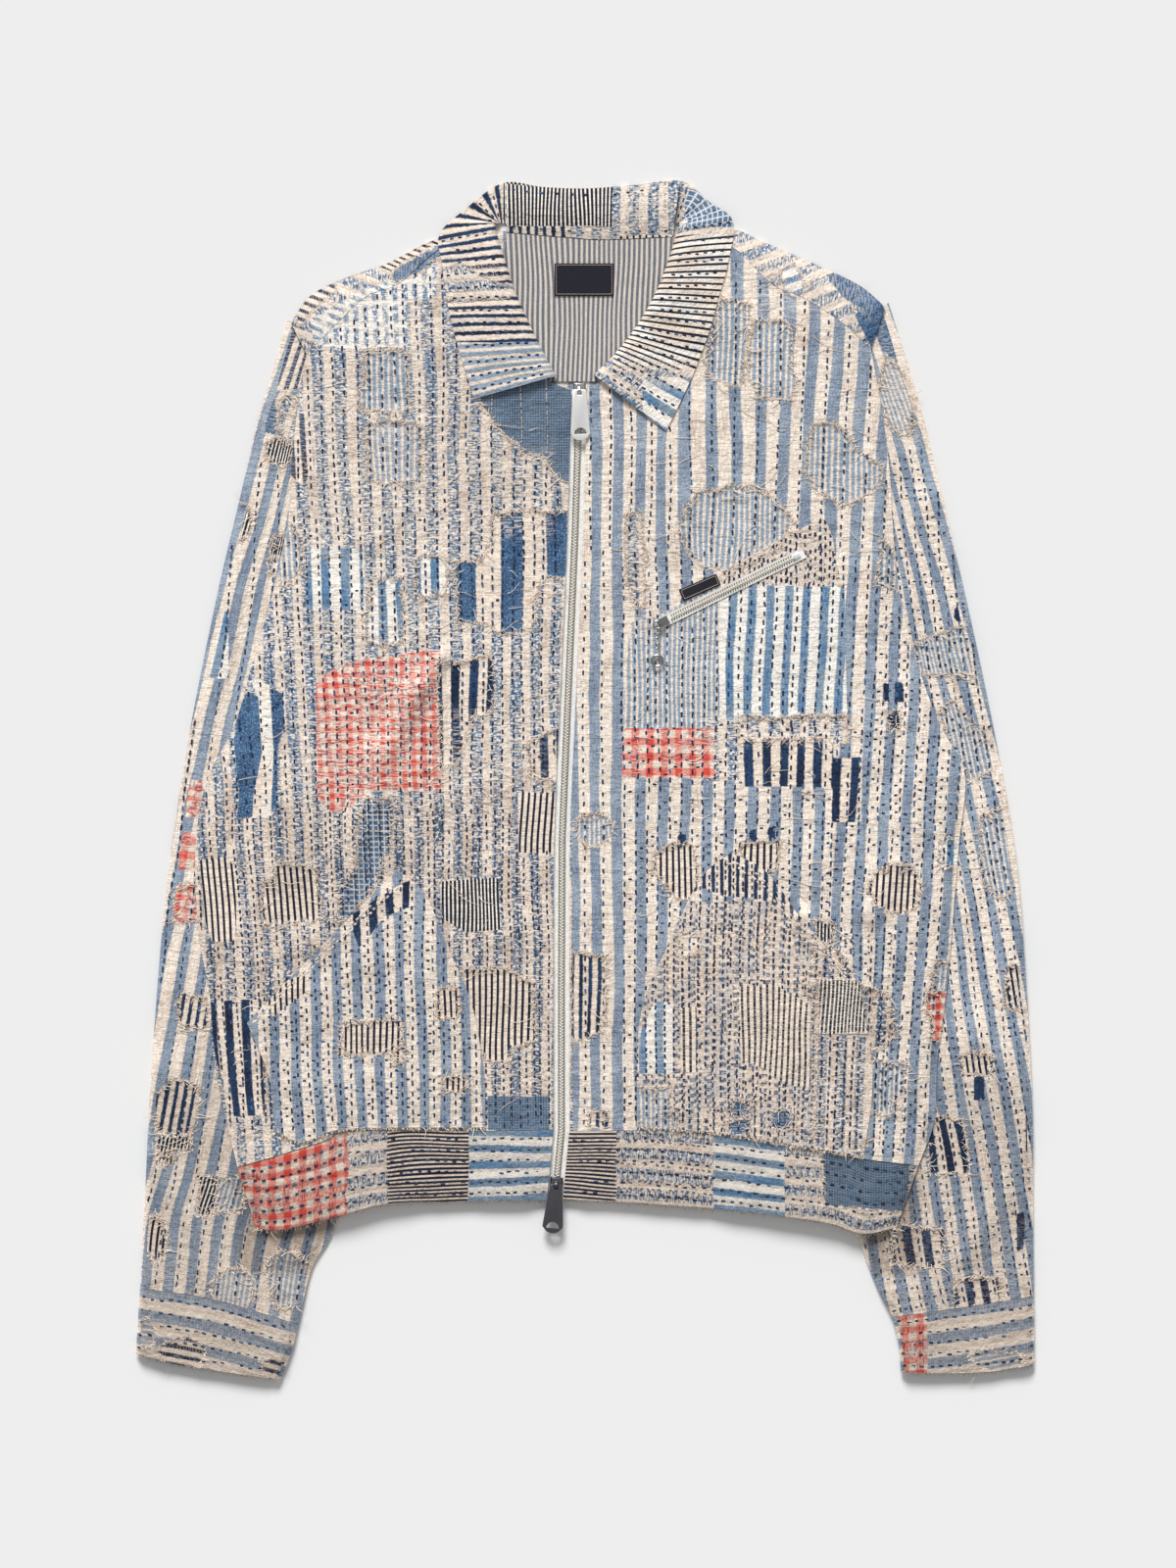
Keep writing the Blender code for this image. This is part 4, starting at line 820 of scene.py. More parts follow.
PATCHES["sleeve"] = [
    ("bold lines", [(-201, 335), (-213, 310), (-222, 271), (-196, 271), (-190, 300), (-184, 318)]),
    ("denim", [(-232, 264), (-214, 264), (-213, 237), (-230, 246)]),
    ("boro", (-213, -196, 232, 266), "torn"),
    ("dense lines", (-222, -203, 216, 237), "torn", "oval"),
    ("dense lines", (-248, -233, 168, 194), "torn", "oval"),
    ("dense lines", (-218, -206, 153, 170), "torn", "oval"),
    ("blue bars", (-218, -210, 144, 156), "torn"), ("blue bars", (-268, -247, 70, 119)),
    ("gingham", (-283, -264, -26, 0)), ("broad gingham", (-287, -269, -62, -36)),
    ("gingham", (-285, -268, -98, -74), "torn"), ("navy lines", (-281, -262, -172, -150), "torn"),
    ("navy lines", [(-283, -205), (-266, -214), (-270, -244), (-280, -247), (-298, -240),
     (-297, -218)], "torn"),
    ("dense lines", (-297, -272, -255, -244), "torn"),
    ("dense lines", (-294, -285, -265, -259), "torn"),
    ("dense lines", (-269, -257, -301, -275), "torn"), ("sky", (-257, -236, -300, -277), "torn"),
    ("fine lines", (-307, -290, -331, -302), "torn", "oval"),
    ("sky", (-222, -190, -366, -327), "torn", "oval"),
    ("sky", (-257, -230, -366, -339), "torn", "oval"),
    ("denim", [(194, 348), (206, 338), (216, 318), (221, 296), (221, 276), (206, 299), (196, 322)]),
    ("sky", [(207, 294), (217, 284), (226, 262), (225, 240), (212, 246), (203, 266)], "torn"),
    ("navy", (226, 232, 246, 262), "torn"), ("navy", (246, 253, 167, 190)),
    ("navy", (254, 261, 108, 121)), ("sky", [(226, 94), (266, 109), (274, 73), (233, 72)], "torn"),
    ("sky", [(244, 48), (255, 55), (265, 39), (278, 34), (284, 10), (265, -1), (255, 20)], "torn"),
    ("sky", [(272, -26), (292, -14), (299, -40), (298, -76), (288, -84), (277, -70)], "torn"),
    ("fine lines", (291, 307, -159, -128), "torn"), ("fine lines", (263, 284, -204, -190), "torn"),
    ("navy", (270, 277, -222, -205)), ("navy bars", (238, 264, -272, -236), "torn"),
    ("navy", (305, 311, -258, -235)), ("navy bars", (214, 247, -337, -311), "torn"),
    ("navy bars", (256, 289, -364, -346), "torn"), ("navy", (299, 304, -326, -299)),
    ("navy", (308, 313, -324, -301)),
]
PATCHES["cuff"] = [
    ("navy lines", (-293, -263, -408, -388), "torn", "oval"),
    ("sky", (-311, -298, -394, -372), "torn", "oval"),
    ("navy lines", (-225, -207, -415, -400), "torn", "oval"),
    ("broad gingham", (210, 237, -412, -370)), ("sky", (267, 301, -408, -394), "torn", "oval"),
]
PATCHES["band"] = [
    ("broad gingham", [(-250, -256), (-213, -250), (-164, -240), (-164, -320),
     (-250, -320)], "torn"),
    ("band lines", (-137, -81, -300, -236)), ("blue bars", (-81, -20, -300, -236)),
    ("band lines", (-18, 21, -300, -236)), ("blue bars", (89, 138, -310, -236)),
    ("micro check", [(163, -256), (224, -256), (224, -300), (166, -296)], "torn"),
]
PATCHES["collar"] = [
    ("navy lines", [(-120, 303), (-10, 303), (-10, 420), (-120, 420)]),
    ("boro", [(-104, 352), (-88, 358), (-60, 344), (-40, 340), (-60, 332), (-92, 334),
     (-104, 340)], "torn"),
    ("light stripes", (-100, -5, 240, 303)), ("dense lines", (-57, 19, 384, 422)),
    ("window check", [(69, 388), (69, 412), (86, 405), (103, 390), (103, 383), (72, 383)]),
    ("thin lines", (20, 108, 284, 378)), ("blue bars", (40, 84, 232, 279)),
]
PATCHES["under"] = [
    ("sky", (-150, -84, 180, 262), "torn", "oval"), ("boro", (-30, 82, 120, 250)),
    ("gingham", (98, 178, 60, 128)), ("navy bars", (-190, -120, 20, 84)),
    ("fine lines", (-64, -8, -40, 34), "torn", "oval"), ("blue bars", (30, 120, -120, -20)),
    ("boro", (-220, -90, -200, -70)), ("dense lines", (150, 206, -200, -140), "torn"),
    ("sky", (168, 222, 200, 262), "torn", "oval"), ("micro check", (-70, -14, -214, -160), "torn"),
    ("denim", (-120, -86, 286, 330), "torn", "oval"),
    ("fine lines", (-288, -262, -60, -10), "torn", "oval"),
    ("gingham", (-262, -236, -240, -206), "torn"), ("sky", (256, 288, -120, -60), "torn", "oval"),
    ("navy bars", (262, 290, -290, -256), "torn"), ("gingham", (-240, -150, -320, -240)),
    ("fine lines", (-60, 30, -320, -236)), ("blue bars", (90, 170, -320, -236)),
]

# Where the face is worn, darkened with painted shade, or covered with small close stitches: left,
# right, low and high sides, the width over which it fades, and its strength. The painted shade
# darkens the cloth towards the hem and cuffs, paints the waistband's shadow on the sleeves beside
# it, and darkens parts of the fronts and pockets.
WORN = {
    "band": [("soil", -400, 400, -320, -236, 1, 0.3), ("wear", -164, -137, -320, -240, 4, 0.7),
        ("wear", 21, 89, -320, -240, 4, 0.7), ("wear", 138, 164, -320, -240, 4, 0.7),
        ("ticks", -139, -110, -300, -240, 4, 0.5), ("ticks", 21, 89, -300, -240, 4, 0.9)],
    "cuff": [("soil", -400, 400, -430, -350, 1, 0.38), ("wear", -320, 320, -412, -350, 4, 0.3)],
    "sleeve": [("soil", -400, 400, -380, -195, 60, 0.29),
        ("soil", -400, -230, -380, -130, 60, 0.09), ("soil", -245, -165, -345, -262, 20, 0.62),
        ("soil", 165, 235, -345, -262, 20, 0.62), ("wear", -240, -180, 240, 330, 20, 0.4),
        ("wear", 200, 250, 230, 330, 20, 0.4), ("wear", 180, 320, -380, -300, 30, 0.2),
        ("wear", -320, -180, -380, -330, 20, 0.35)],
    "front": [("soil", -300, 300, -270, -110, 80, 0.08), ("soil", -110, -6, 190, 300, 30, 0.08),
        ("soil", -212, -90, -100, -10, 30, 0.1), ("wear", -206, -80, 160, 256, 30, 0.45),
        ("wear", -92, -24, 170, 228, 14, 0.75), ("wear", -190, -118, -10, 60, 22, 0.55),
        ("wear", -104, -30, -6, 46, 16, 0.6), ("wear", -205, -180, -40, 110, 16, 0.45),
        ("wear", -196, -112, 84, 116, 14, 0.55), ("wear", 28, 42, 118, 184, 10, 0.7),
        ("wear", 84, 184, 26, 44, 8, 0.8), ("wear", 26, 60, 100, 118, 8, 0.6),
        ("wear", 110, 200, 320, 380, 16, 0.45), ("wear", -200, -70, 300, 385, 20, 0.35),
        ("ticks", 150, 220, -256, -104, 12, 0.9)],
    "pocket": [("soil", -300, 300, -290, -110, 80, 0.07), ("wear", 40, 198, -260, -90, 20, 0.35)],
    "collar": [("wear", -104, -60, 330, 358, 10, 0.6), ("wear", 22, 72, 270, 290, 8, 0.8),
        ("ticks", 19, 66, 384, 420, 4, 0.5)],
    "under": [("wear", -220, 220, -250, 120, 60, 0.3), ("ticks", -230, -90, -200, -70, 12, 0.9)],
}


def patch_depth(places, edge, sizes, warp=0.0):
    """How far each place is inside a patch, in metres. Warp makes its edge uneven."""
    if warp:
        places = places + warp * patch_bend(places)
    if isinstance(sizes, list):
        return depth_in(places, np.array(sizes) * MM)
    left, right, low, high = (value * MM for value in sizes)
    half_x, half_y = (right - left) / 2, (high - low) / 2
    off_x, off_y = places[..., 0] - (left + right) / 2, places[..., 1] - (low + high) / 2
    if "oval" in edge:
        return (1.0 - np.hypot(off_x / half_x, off_y / half_y)) * min(half_x, half_y)
    return np.minimum(half_x - np.abs(off_x), half_y - np.abs(off_y))


def patch_bend(places):
    bend = np.stack([rumple(places, 0.022, 71), rumple(places, 0.022, 72)], axis=-1)
    return bend - 0.5


def patch_line(edge, sizes):
    """The line round a patch, ending where it starts."""
    if isinstance(sizes, list):
        return np.array(sizes + sizes[:1]) * MM
    left, right, low, high = (value * MM for value in sizes)
    turn = np.linspace(0, 2 * math.pi, 25)
    wide = 1.0 if "oval" in edge else 1.25
    line = np.stack([(left + right + (right - left) * wide * np.cos(turn)) / 2,
                     (low + high + (high - low) * wide * np.sin(turn)) / 2], axis=-1)
    return np.clip(line, (left, low), (right, high))


def torn_edges(layer, step):
    """Places round the torn edges of one layer, about step apart."""
    found = []
    for fabric, sizes, *edge in PATCHES[layer]:
        if "torn" in edge:
            line = patch_line(edge, sizes)
            line = spaced(line, max(int(length_of(line) / step), 4))
            found.append(line - 0.005 * patch_bend(line))
    return np.vstack(found)


def fabrics_on(places, layer):
    """Masks of this layer's fabrics, wear, painted shade, close stitches and torn rims here."""
    masks = {"rim": np.full(places.shape[:-1], -0.05), "loose": np.zeros(places.shape[:-1])}
    for fabric, sizes, *edge in PATCHES[layer]:
        torn = "torn" in edge
        depth = np.clip(patch_depth(places, edge, sizes, 0.005 if torn else 0.0015), -0.05, 0.05)
        if depth.max() < -0.012:
            continue
        for name in list(masks):
            if name not in (fabric, "rim", "loose"):
                masks[name] = np.minimum(masks[name], -depth)
        masks[fabric] = np.maximum(masks.get(fabric, depth), depth)
        near = smooth((depth + 0.010) / 0.006)
        masks["loose"] = masks["loose"] * (1 - near) + torn * near
        if torn:
            masks["rim"] = np.maximum(masks["rim"], depth)
        else:
            masks["rim"] = np.minimum(masks["rim"], np.maximum(-depth, -0.05))
    for kind in ("wear", "ticks", "soil"):
        masks[kind] = np.zeros(places.shape[:-1])
    for kind, *sides, fade, strength in WORN.get(layer, []):
        depth = patch_depth(places, (), tuple(sides))
        masks[kind] = np.maximum(masks[kind], smooth(0.5 + depth / (fade * MM)) * strength)
    return masks


# Cloth pieces.

TUBE_WALL = 0.0009


def mesh_piece(name, points, faces, material, body="jacket", flat=False):
    """A piece from points and faces, with its faces turned outwards."""
    mesh = bpy.data.meshes.new(name)
    mesh.from_pydata(np.asarray(points, float).tolist(), [], np.asarray(faces).tolist())
    shape = bmesh.new()
    shape.from_mesh(mesh)
    bmesh.ops.recalc_face_normals(shape, faces=shape.faces)
    shape.to_mesh(mesh)
    shape.free()
    mesh.materials.append(material)
    piece = bpy.data.objects.new(name, mesh)
    bpy.context.scene.collection.objects.link(piece)
    if not flat:
        mesh.shade_smooth()
        mesh.set_sharp_from_angle(angle=math.radians(60))
    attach(piece, body)
    return piece


def store(piece, name, values):
    """Keeps one number for each point of the piece, which its material reads."""
    kept = piece.data.attributes.new(name, "FLOAT", "POINT")
    kept.data.foreach_set("value", np.asarray(values).ravel().astype(np.float32))


def paint(piece, grain, masks):
    """Stores the cloth's own coordinates and its masks on the piece's points."""
    mesh = piece.data
    corners = np.empty(len(mesh.loops), np.int32)
    mesh.loops.foreach_get("vertex_index", corners)
    layer = mesh.uv_layers.new(name="grain")
    layer.data.foreach_set("uv", grain.reshape(-1, 2)[corners].astype(np.float32).ravel())
    for name, values in masks.items():
        store(piece, name, values)


def shell(name, rows, low, top, material, grain, masks):
    """A thin closed sheet between two surfaces over rows of places."""
    under = np.concatenate([rows, low[..., None]], axis=2).reshape(-1, 3)
    upper = np.concatenate([rows, top[..., None]], axis=2).reshape(-1, 3)
    at = np.arange(len(under)).reshape(rows.shape[:2])
    cell = np.stack([at[:-1, :-1], at[:-1, 1:], at[1:, 1:], at[1:, :-1]], axis=-1).reshape(-1, 4)
    rim = np.concatenate([at[0, :-1], at[:-1, -1], at[-1, :0:-1], at[:0:-1, 0]])
    after, size = np.roll(rim, -1), len(under)
    walls = np.stack([rim, after, after + size, rim + size], axis=1)
    faces = np.concatenate([cell[:, ::-1], cell + size, walls])
    piece = mesh_piece(name, np.concatenate([under, upper]), faces, material)
    both = {key: np.concatenate([value.ravel()] * 2) for key, value in masks.items()}
    paint(piece, np.concatenate([grain.reshape(-1, 2)] * 2), both)
    return piece


def stand_for(node):
    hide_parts(node)


def cut_cloth(name, node, base, masks, rows, top, grain,
              wall=CLOTH_SHELL):
    """One piece of the cloth over rows of places, standing in for its node, which is hidden."""
    material = cloth_material(name.replace("_", " "), base, masks)
    piece = shell(name, rows, top - wall, top, material, grain, masks)
    stand_for(node)


def front_grain(rows):
    """The fronts' stripes run up the body, and lean in towards the hem at the sides."""
    x, y = rows[..., 0], rows[..., 1]
    lean = 0.10 * np.clip(np.abs(x) - 0.06, 0.0, 0.2) * np.sign(x) / 0.15
    return np.stack([x - lean * (y + 0.05) * 0.55, y], axis=-1)


def dent(masks, depth=0.0006):
    """Holes lie a little lower than the worn cloth round them, with a raised lip."""
    rim = masks["rim"]
    lip = 0.0004 * np.exp(-((rim + 0.0015) / 0.0014) ** 2)
    return -depth * smooth((rim + 0.0008) / 0.0022) + lip


def settle(rows, top):
    """Brings a front's edge down to the back where they fold into each other at the side."""
    fold = 1.0 - smooth(off_sides(rows) / 0.007)
    edge = back_low(rows) + CLOTH_SHELL + 0.0007
    return top * (1 - fold) + edge * fold


def gathered(rows, high):
    """The rise of a band over its middle, drawn up in small uneven gathers."""
    arch = np.sin(np.linspace(0, math.pi, len(rows)))[:, None] ** 0.6
    turn = rows[..., 0] / 0.0017 + 9.0 * rumple(rows, 0.030, 91)
    return arch * (high + 0.0005 * np.sin(turn) * rumple(rows, 0.050, 92))


def make_fronts():
    """Each front, then its waistband and the strip that rolls over its shoulder."""
    places = {}
    across, up, turn = 112, 232, 44
    for side, seam, yoke, neckline, edge, hem, shoulder, base in (
            ("right", BAND_SEAM_RIGHT, YOKE_RIGHT, NECKLINE_RIGHT, SIDE_RIGHT, HEM_RIGHT,
             SHOULDER_RIGHT, "boro"),
            ("left", BAND_SEAM_LEFT, YOKE_LEFT, NECKLINE_LEFT, SIDE_LEFT, HEM_LEFT,
             SHOULDER_LEFT, "stripes")):
        is_right = side == "right"
        opening = shifted(ZIP_LINE[1:], dx=-ZIP_OPEN if is_right else ZIP_OPEN)
        opening = flowing(np.vstack([opening[:-1], neckline[-1:]]), up)
        inner = np.vstack([opening, flowing(neckline[::-1], turn)[1:]])
        outer = flowing(edge, up + turn)
        foot = flowing(seam, across)
        foot[-1 if is_right else 0] = opening[0]
        rows = patch(foot, flowing(yoke, across), *((outer, inner) if is_right else (inner, outer)))
        masks = fabrics_on(rows, "front")
        cut_cloth("front_cloth_" + side, "front_" + side, base, masks, rows,
                  settle(rows, front_skin(rows) + dent(masks)), front_grain(rows))
        places["front_" + side] = rows

        rows = strip(flowing(hem, across), shifted(foot, dy=-SEAM), 16)
        masks = fabrics_on(rows, "band")
        welt = gathered(rows, 0.0010)
        grain = np.stack([run_of(rows, 0) + 0.3, rows[..., 0]], axis=-1)
        cut_cloth("waistband_" + side, "band_" + side, "boro", masks, rows,
                  settle(rows, front_skin(rows) + dent(masks) + welt), grain,
                  wall=CLOTH_SHELL + 0.3 * welt)
        places["band_" + side] = rows

        rows = strip(shifted(flowing(yoke, 80), dy=SEAM), flowing(shoulder, 80), 8)
        masks = fabrics_on(rows, "front")
        grain = np.stack([rows[..., 1] - 0.4 * np.abs(rows[..., 0]), rows[..., 0]], axis=-1)
        cut_cloth("yoke_cloth_" + side, "yoke_" + side, "boro", masks, rows,
                  settle(rows, front_skin(rows)), grain)
    return places


def make_back():
    foot = np.vstack([flowing(BAND_SEAM_RIGHT, 62), flowing(BAND_SEAM_LEFT, 61)])
    top = np.vstack([flowing(SHOULDER_RIGHT, 42), flowing(NECK_BACK, 40)[1:],
                     flowing(SHOULDER_LEFT, 42)[1:]])
    rows = patch(foot, top, flowing(SIDE_RIGHT + SHOULDER_RIGHT[:1], 160),
                 flowing(SIDE_LEFT + SHOULDER_LEFT[-1:], 160))
    cut_cloth("back_cloth", "back", "stripes", fabrics_on(rows, "under"), rows,
              back_low(rows) + FLOOR_GAP + CLOTH_SHELL, rows.copy())
    hem = np.vstack([flowing(HEM_RIGHT, 62), flowing(HEM_LEFT, 61)])
    rows = strip(hem, shifted(foot, dy=-SEAM), 14)
    grain = np.stack([run_of(rows, 0), rows[..., 0]], axis=-1)
    cut_cloth("waistband_back", "band_back", "boro", fabrics_on(rows, "under"), rows,
              back_low(rows) + FLOOR_GAP + CLOTH_SHELL, grain)


def cut_tube(name, rows, top, grain, masks, under_masks):
    """A flattened tube of cloth, open at both ends: the outer wall round, then the inner."""
    along, across = rows.shape[:2]
    side = np.minimum(run_of(rows, 1), run_of(rows[:, ::-1], 1)[:, ::-1])
    drop = rolled(side / ROLL_REACH)

    def loop(places, height, lift):
        lower = lift + drop * height / 2
        upper = lift + height - drop * height / 2
        first = np.concatenate([places, lower[..., None]], axis=2)
        second = np.concatenate([places, upper[..., None]], axis=2)[:, ::-1]
        return np.concatenate([first, second[:, 1:-1]], axis=1)

    middle = rows[:, across // 2][:, None]
    length = np.linalg.norm(rows - middle, axis=-1, keepdims=True)
    inset = np.clip(0.0026 * np.clip(1.0 - side / 0.02, 0, 1)[..., None] / (length + 1e-9), 0, 1)
    outer = loop(rows, top - 0.0001, 0.0001)
    inner = loop(rows + (middle - rows) * inset, top - 2 * TUBE_WALL - 0.0001, TUBE_WALL)
    at = np.arange(outer.size // 3).reshape(along, -1)
    after, size = np.roll(at, -1, axis=1), at.size
    cell = np.stack([at[:-1], after[:-1], after[1:], at[1:]], axis=-1).reshape(-1, 4)
    ends = [np.stack([at[row], after[row], after[row] + size, at[row] + size], axis=-1)
            for row in (0, -1)]
    points = np.concatenate([outer.reshape(-1, 3), inner.reshape(-1, 3)])
    material = cloth_material(name.replace("_", " "), "stripes", {**masks, **under_masks})
    piece = mesh_piece(name, points, np.concatenate([cell, cell[:, ::-1] + size, *ends]), material)

    def looped(first, second):
        whole = np.concatenate([first, second[:, ::-1][:, 1:-1]], axis=1)
        return np.concatenate([whole.reshape(size, -1)] * 2)

    both = {}
    for key in {**masks, **under_masks}:
        away = np.full(rows.shape[:2], -0.05 if key in FABRICS or key == "rim" else 0.0)
        both[key] = looped(under_masks.get(key, away), masks.get(key, away))
    paint(piece, looped(grain, grain), both)
    return piece


def make_sleeves():
    places = {}
    across, along = 34, 200
    for side, edges in (("right", SLEEVE_RIGHT), ("left", SLEEVE_LEFT)):
        seam = flowing(edges["cuff seam"], across)
        rows = patch(seam, flowing(edges["head"], across),
                     flowing(edges["outer"], along), flowing(edges["inner"], along))
        masks = fabrics_on(rows, "sleeve")
        width = run_of(rows, 1)
        grain = np.stack([width - width[:, -1:] / 2, run_of(rows, 0)], axis=-1)
        piece = cut_tube("sleeve_cloth_" + side, rows, sleeve_skin(rows) + dent(masks, 0.0004),
                         grain, masks, fabrics_on(rows, "under"))
        stand_for("sleeve_" + side)
        places["sleeve_" + side] = rows

        seam = shifted(seam, dy=-SEAM)
        outer = np.vstack([seam[:1], flowing(edges["cuff outer"], 16)[1:]])
        inner = np.vstack([seam[-1:], flowing(edges["cuff inner"], 16)[1:]])
        rows = patch(seam, flowing(edges["cuff end"], across), outer, inner)
        masks = fabrics_on(rows, "cuff")
        grain = np.stack([run_of(rows, 0) + 0.004, run_of(rows, 1)], axis=-1)
        top = sleeve_skin(rows) + dent(masks, 0.0004) + gathered(rows, 0.0012)
        piece = cut_tube("cuff_cloth_" + side, rows, top, grain, masks, fabrics_on(rows, "under"))
        stand_for("cuff_" + side)
        places["cuff_" + side] = rows
    return places


def pocket_top(places, rows):
    """A pocket lies on the front, pressed flat along its seams and standing off inside them,
    with a turned edge along its opening."""
    off = np.maximum(depth_in(places, edge_of(rows)), 0.0)
    slack = 0.0012 * smooth(off / 0.02) * (0.4 + 0.8 * rumple(places, 0.030, 15))
    turned = 0.0008 * (1.0 - smooth((off_line(places, rows[-1]) - 0.0085) / 0.003))
    return front_skin(places) + SEAM + POCKET_LIFT + CLOTH_SHELL + slack + turned


def make_pockets():
    places = {}
    for side, edges in (("right", POCKET_RIGHT), ("left", POCKET_LEFT)):
        rows = patch(flowing(edges["foot"], 54), flowing(edges["opening"], 54),
                     flowing(edges["first"], 64), flowing(edges["last"], 64))
        masks = fabrics_on(rows, "pocket")
        cut_cloth("pocket_cloth_" + side, "hand_pocket_" + side, "stripes", masks, rows,
                  pocket_top(rows, rows) + dent(masks, 0.0004), front_grain(rows))
        places["pocket_" + side] = rows
    return places


def make_collar():
    table, parts = np.array(COLLAR_FALL), 10
    knots = np.linspace(0, len(table) - 1, (len(table) - 1) * parts + 1)
    at = np.clip(np.floor(knots).astype(int), 0, len(table) - 2)
    curve = eased(table, at, (knots - at)[:, None])
    inner, outer = curve[:, :2], curve[:, 2:]
    shares = np.linspace(0.0, 1.0, 21)
    rows = inner[:, None] + (outer - inner)[:, None] * shares[None, :, None]
    roll = np.interp(shares, *np.array(ROLL).T)[None]
    on_front = np.maximum(front_skin(rows) + SEAM + roll, lining_top(rows) + SEAM)
    state = np.interp(knots, np.arange(len(table)), COLLAR_LIES)[:, None]
    turning, lying = smooth(state), smooth(state - 1)
    low = on_front * (1 - turning) + TURN_HEIGHT * turning
    low = low * (1 - lying) + FLOOR_GAP * lying
    length = run_of(rows[:, 10:11], 0)
    grain = np.stack([np.repeat(length, 21, 1), run_of(rows, 1)], axis=-1)
    cut_cloth("collar_cloth", "collar_fall", "boro", fabrics_on(rows, "collar"), rows,
              low + CLOTH_SHELL, grain)

    stand = strip(flowing(STAND_SEAM, 48), flowing(STAND_TOP, 48), 16)
    share = np.linspace(0, 1, 17)[:, None]
    stand_low = CLOTH + SEAM + STAND_PUFF * np.sin(math.pi * share) + 0 * stand[..., 0]
    cut_cloth("collar_stand_cloth", "collar_stand", "boro", fabrics_on(stand, "collar"), stand,
              stand_low + CLOTH_SHELL, stand.copy())
    return {"collar": rows, "collar_low": low, "stand": stand}


def plain_material(name, colour, roughness, metallic, wear, rough=0.25):
    """A cast or plated metal with a little uneven wear."""
    metal = Finish(name)
    place = metal.node("TexCoord")
    noise = metal.node("TexNoise", Scale=900.0, Detail=2.0, Vector=place.outputs["Object"])
    spots = noise.outputs["Fac"]
    ramp = metal.node("MapRange", Value=spots, To_Min=max(roughness - wear, 0.05),
                      To_Max=min(roughness + wear, 1.0))
    dark = tuple((1 - rough) * value for value in colour)
    mixed = metal.mix(spots, (*dark, 1.0), (*colour, 1.0))
    bump = metal.node("Bump", Strength=rough, Distance=0.0002, Height=spots)
    metal.dress(metal.shader, Metallic=metallic, Roughness=ramp.outputs["Result"],
                Base_Color=mixed, Normal=bump.outputs[0])
    return metal.material


def woven_material(name, dark, light, rib=0.0008):
    """A close woven tape or label: fine ribs along and across."""
    dyer = Dyer(name, 0.75)
    dyer.ready()
    ribs = dyer.bars(dyer.along, rib, 0.5, 0.0002)
    cross = dyer.bars(dyer.across, rib * 1.3, 0.5, 0.0002)
    colour = dyer.mix(dyer.times(ribs, 0.5), light, dark)
    colour = dyer.mix(dyer.times(cross, 0.25), colour, dark)
    return dyer.finish(colour, dyer.add(dyer.times(ribs, 0.15), dyer.times(cross, 0.10)))


def make_lining():
    top = shifted(flowing(STAND_SEAM, 40), dy=-2 * SEAM)
    right = flowing(LINING_RIGHT[:-1] + [tuple(top[0])], 40)
    left = flowing(LINING_LEFT[:-1] + [tuple(top[-1])], 40)
    rows = patch(flowing(LINING_FOOT, 40), top, right, left)
    height = back_top(rows) + SEAM + THIN_SHELL + 0.0002 * rumple(rows, 0.02, 21)
    dyer = Dyer("ticking lining cloth", 0.85)
    dyer.ready()
    on = dyer.bars(dyer.swayed, 0.0036, 0.54, 0.0003)
    blue = dyer.mix(dyer.times(dyer.grit, 0.25), "ticking blue", "ecru")
    colour = dyer.mix(on, dyer.mix(dyer.times(dyer.grit, 0.5), "ecru", "tan"), blue)
    relief = dyer.add(dyer.times(dyer.cloud, 0.9), dyer.times(dyer.slub, 0.2))
    material = dyer.finish(colour, relief)
    x, y = rows[..., 0], rows[..., 1]
    grain = np.stack([x * (1.0 + 0.9 * (0.375 - y)), y], axis=-1)
    piece = shell("lining_cloth", rows, height - THIN_SHELL, height, material, grain, {})
    stand_for("back_lining")


def woven_badge(name, node, centre, size, tilt, ground, material, border):
    """A small bare woven badge with a stitched border, turned tilt degrees."""
    cos, sin = math.cos(math.radians(tilt)), math.sin(math.radians(tilt))
    u, v = np.meshgrid(np.linspace(-0.5, 0.5, 33) * size[0], np.linspace(-0.5, 0.5, 19) * size[1])
    rows = np.stack([centre[0] + u * cos - v * sin, centre[1] + u * sin + v * cos], axis=-1)
    edge = np.minimum(size[0] / 2 - np.abs(u), size[1] / 2 - np.abs(v))
    height = ground(rows) + SEAM + THIN_SHELL + 0.0003 * smooth(edge / 0.0015)
    piece = shell(name, rows, height - THIN_SHELL, height, material, np.stack([u, v], -1), {})
    stand_for(node)
    half = np.array(size) / 2 - 0.0012
    line = np.array([(-1, -1), (1, -1), (1, 1), (-1, 1), (-1, -1)]) * half
    line = line @ np.array([(cos, sin), (-sin, cos)]) + centre
    places = spaced(line, int(2 * (size[0] + size[1]) / 0.0015))
    middle, angles = between(places)
    dashes(name + "_border", middle, angles, 0.0012,
           ground(middle) + SEAM + THIN_SHELL + 0.0003, border, 0.0004)


# Stitches and loose yarns.

STITCH_WIDTH, FINE_STITCH, STITCH_RISE, YARN_THICK = 0.0014, 0.0007, 0.0008, 0.00036

# One stitch lying along X: a low rounded bar with tapered ends.
DASH_POINTS = np.array([(-0.5, 0.0, 0.0), (-0.42, -0.5, 0.05), (-0.42, 0.0, 0.6),
                        (-0.42, 0.5, 0.05), (0.42, -0.5, 0.05), (0.42, 0.0, 0.6),
                        (0.42, 0.5, 0.05), (0.5, 0.0, 0.0)])
DASH_FACES = np.array([(0, 2, 1), (0, 3, 2), (0, 1, 3), (1, 2, 5), (1, 5, 4), (2, 3, 6),
                       (2, 6, 5), (3, 1, 4), (3, 4, 6), (7, 4, 5), (7, 5, 6), (7, 6, 4)])


def copied(faces, count, points):
    """The faces of many copies of a shape that has so many points."""
    return (faces[None] + np.arange(count)[:, None, None] * points).reshape(-1, 3)


def between(places):
    """The middle of each step along a line, and its angle."""
    step = np.diff(places, axis=0)
    return (places[1:] + places[:-1]) / 2, np.arctan2(step[:, 1], step[:, 0])


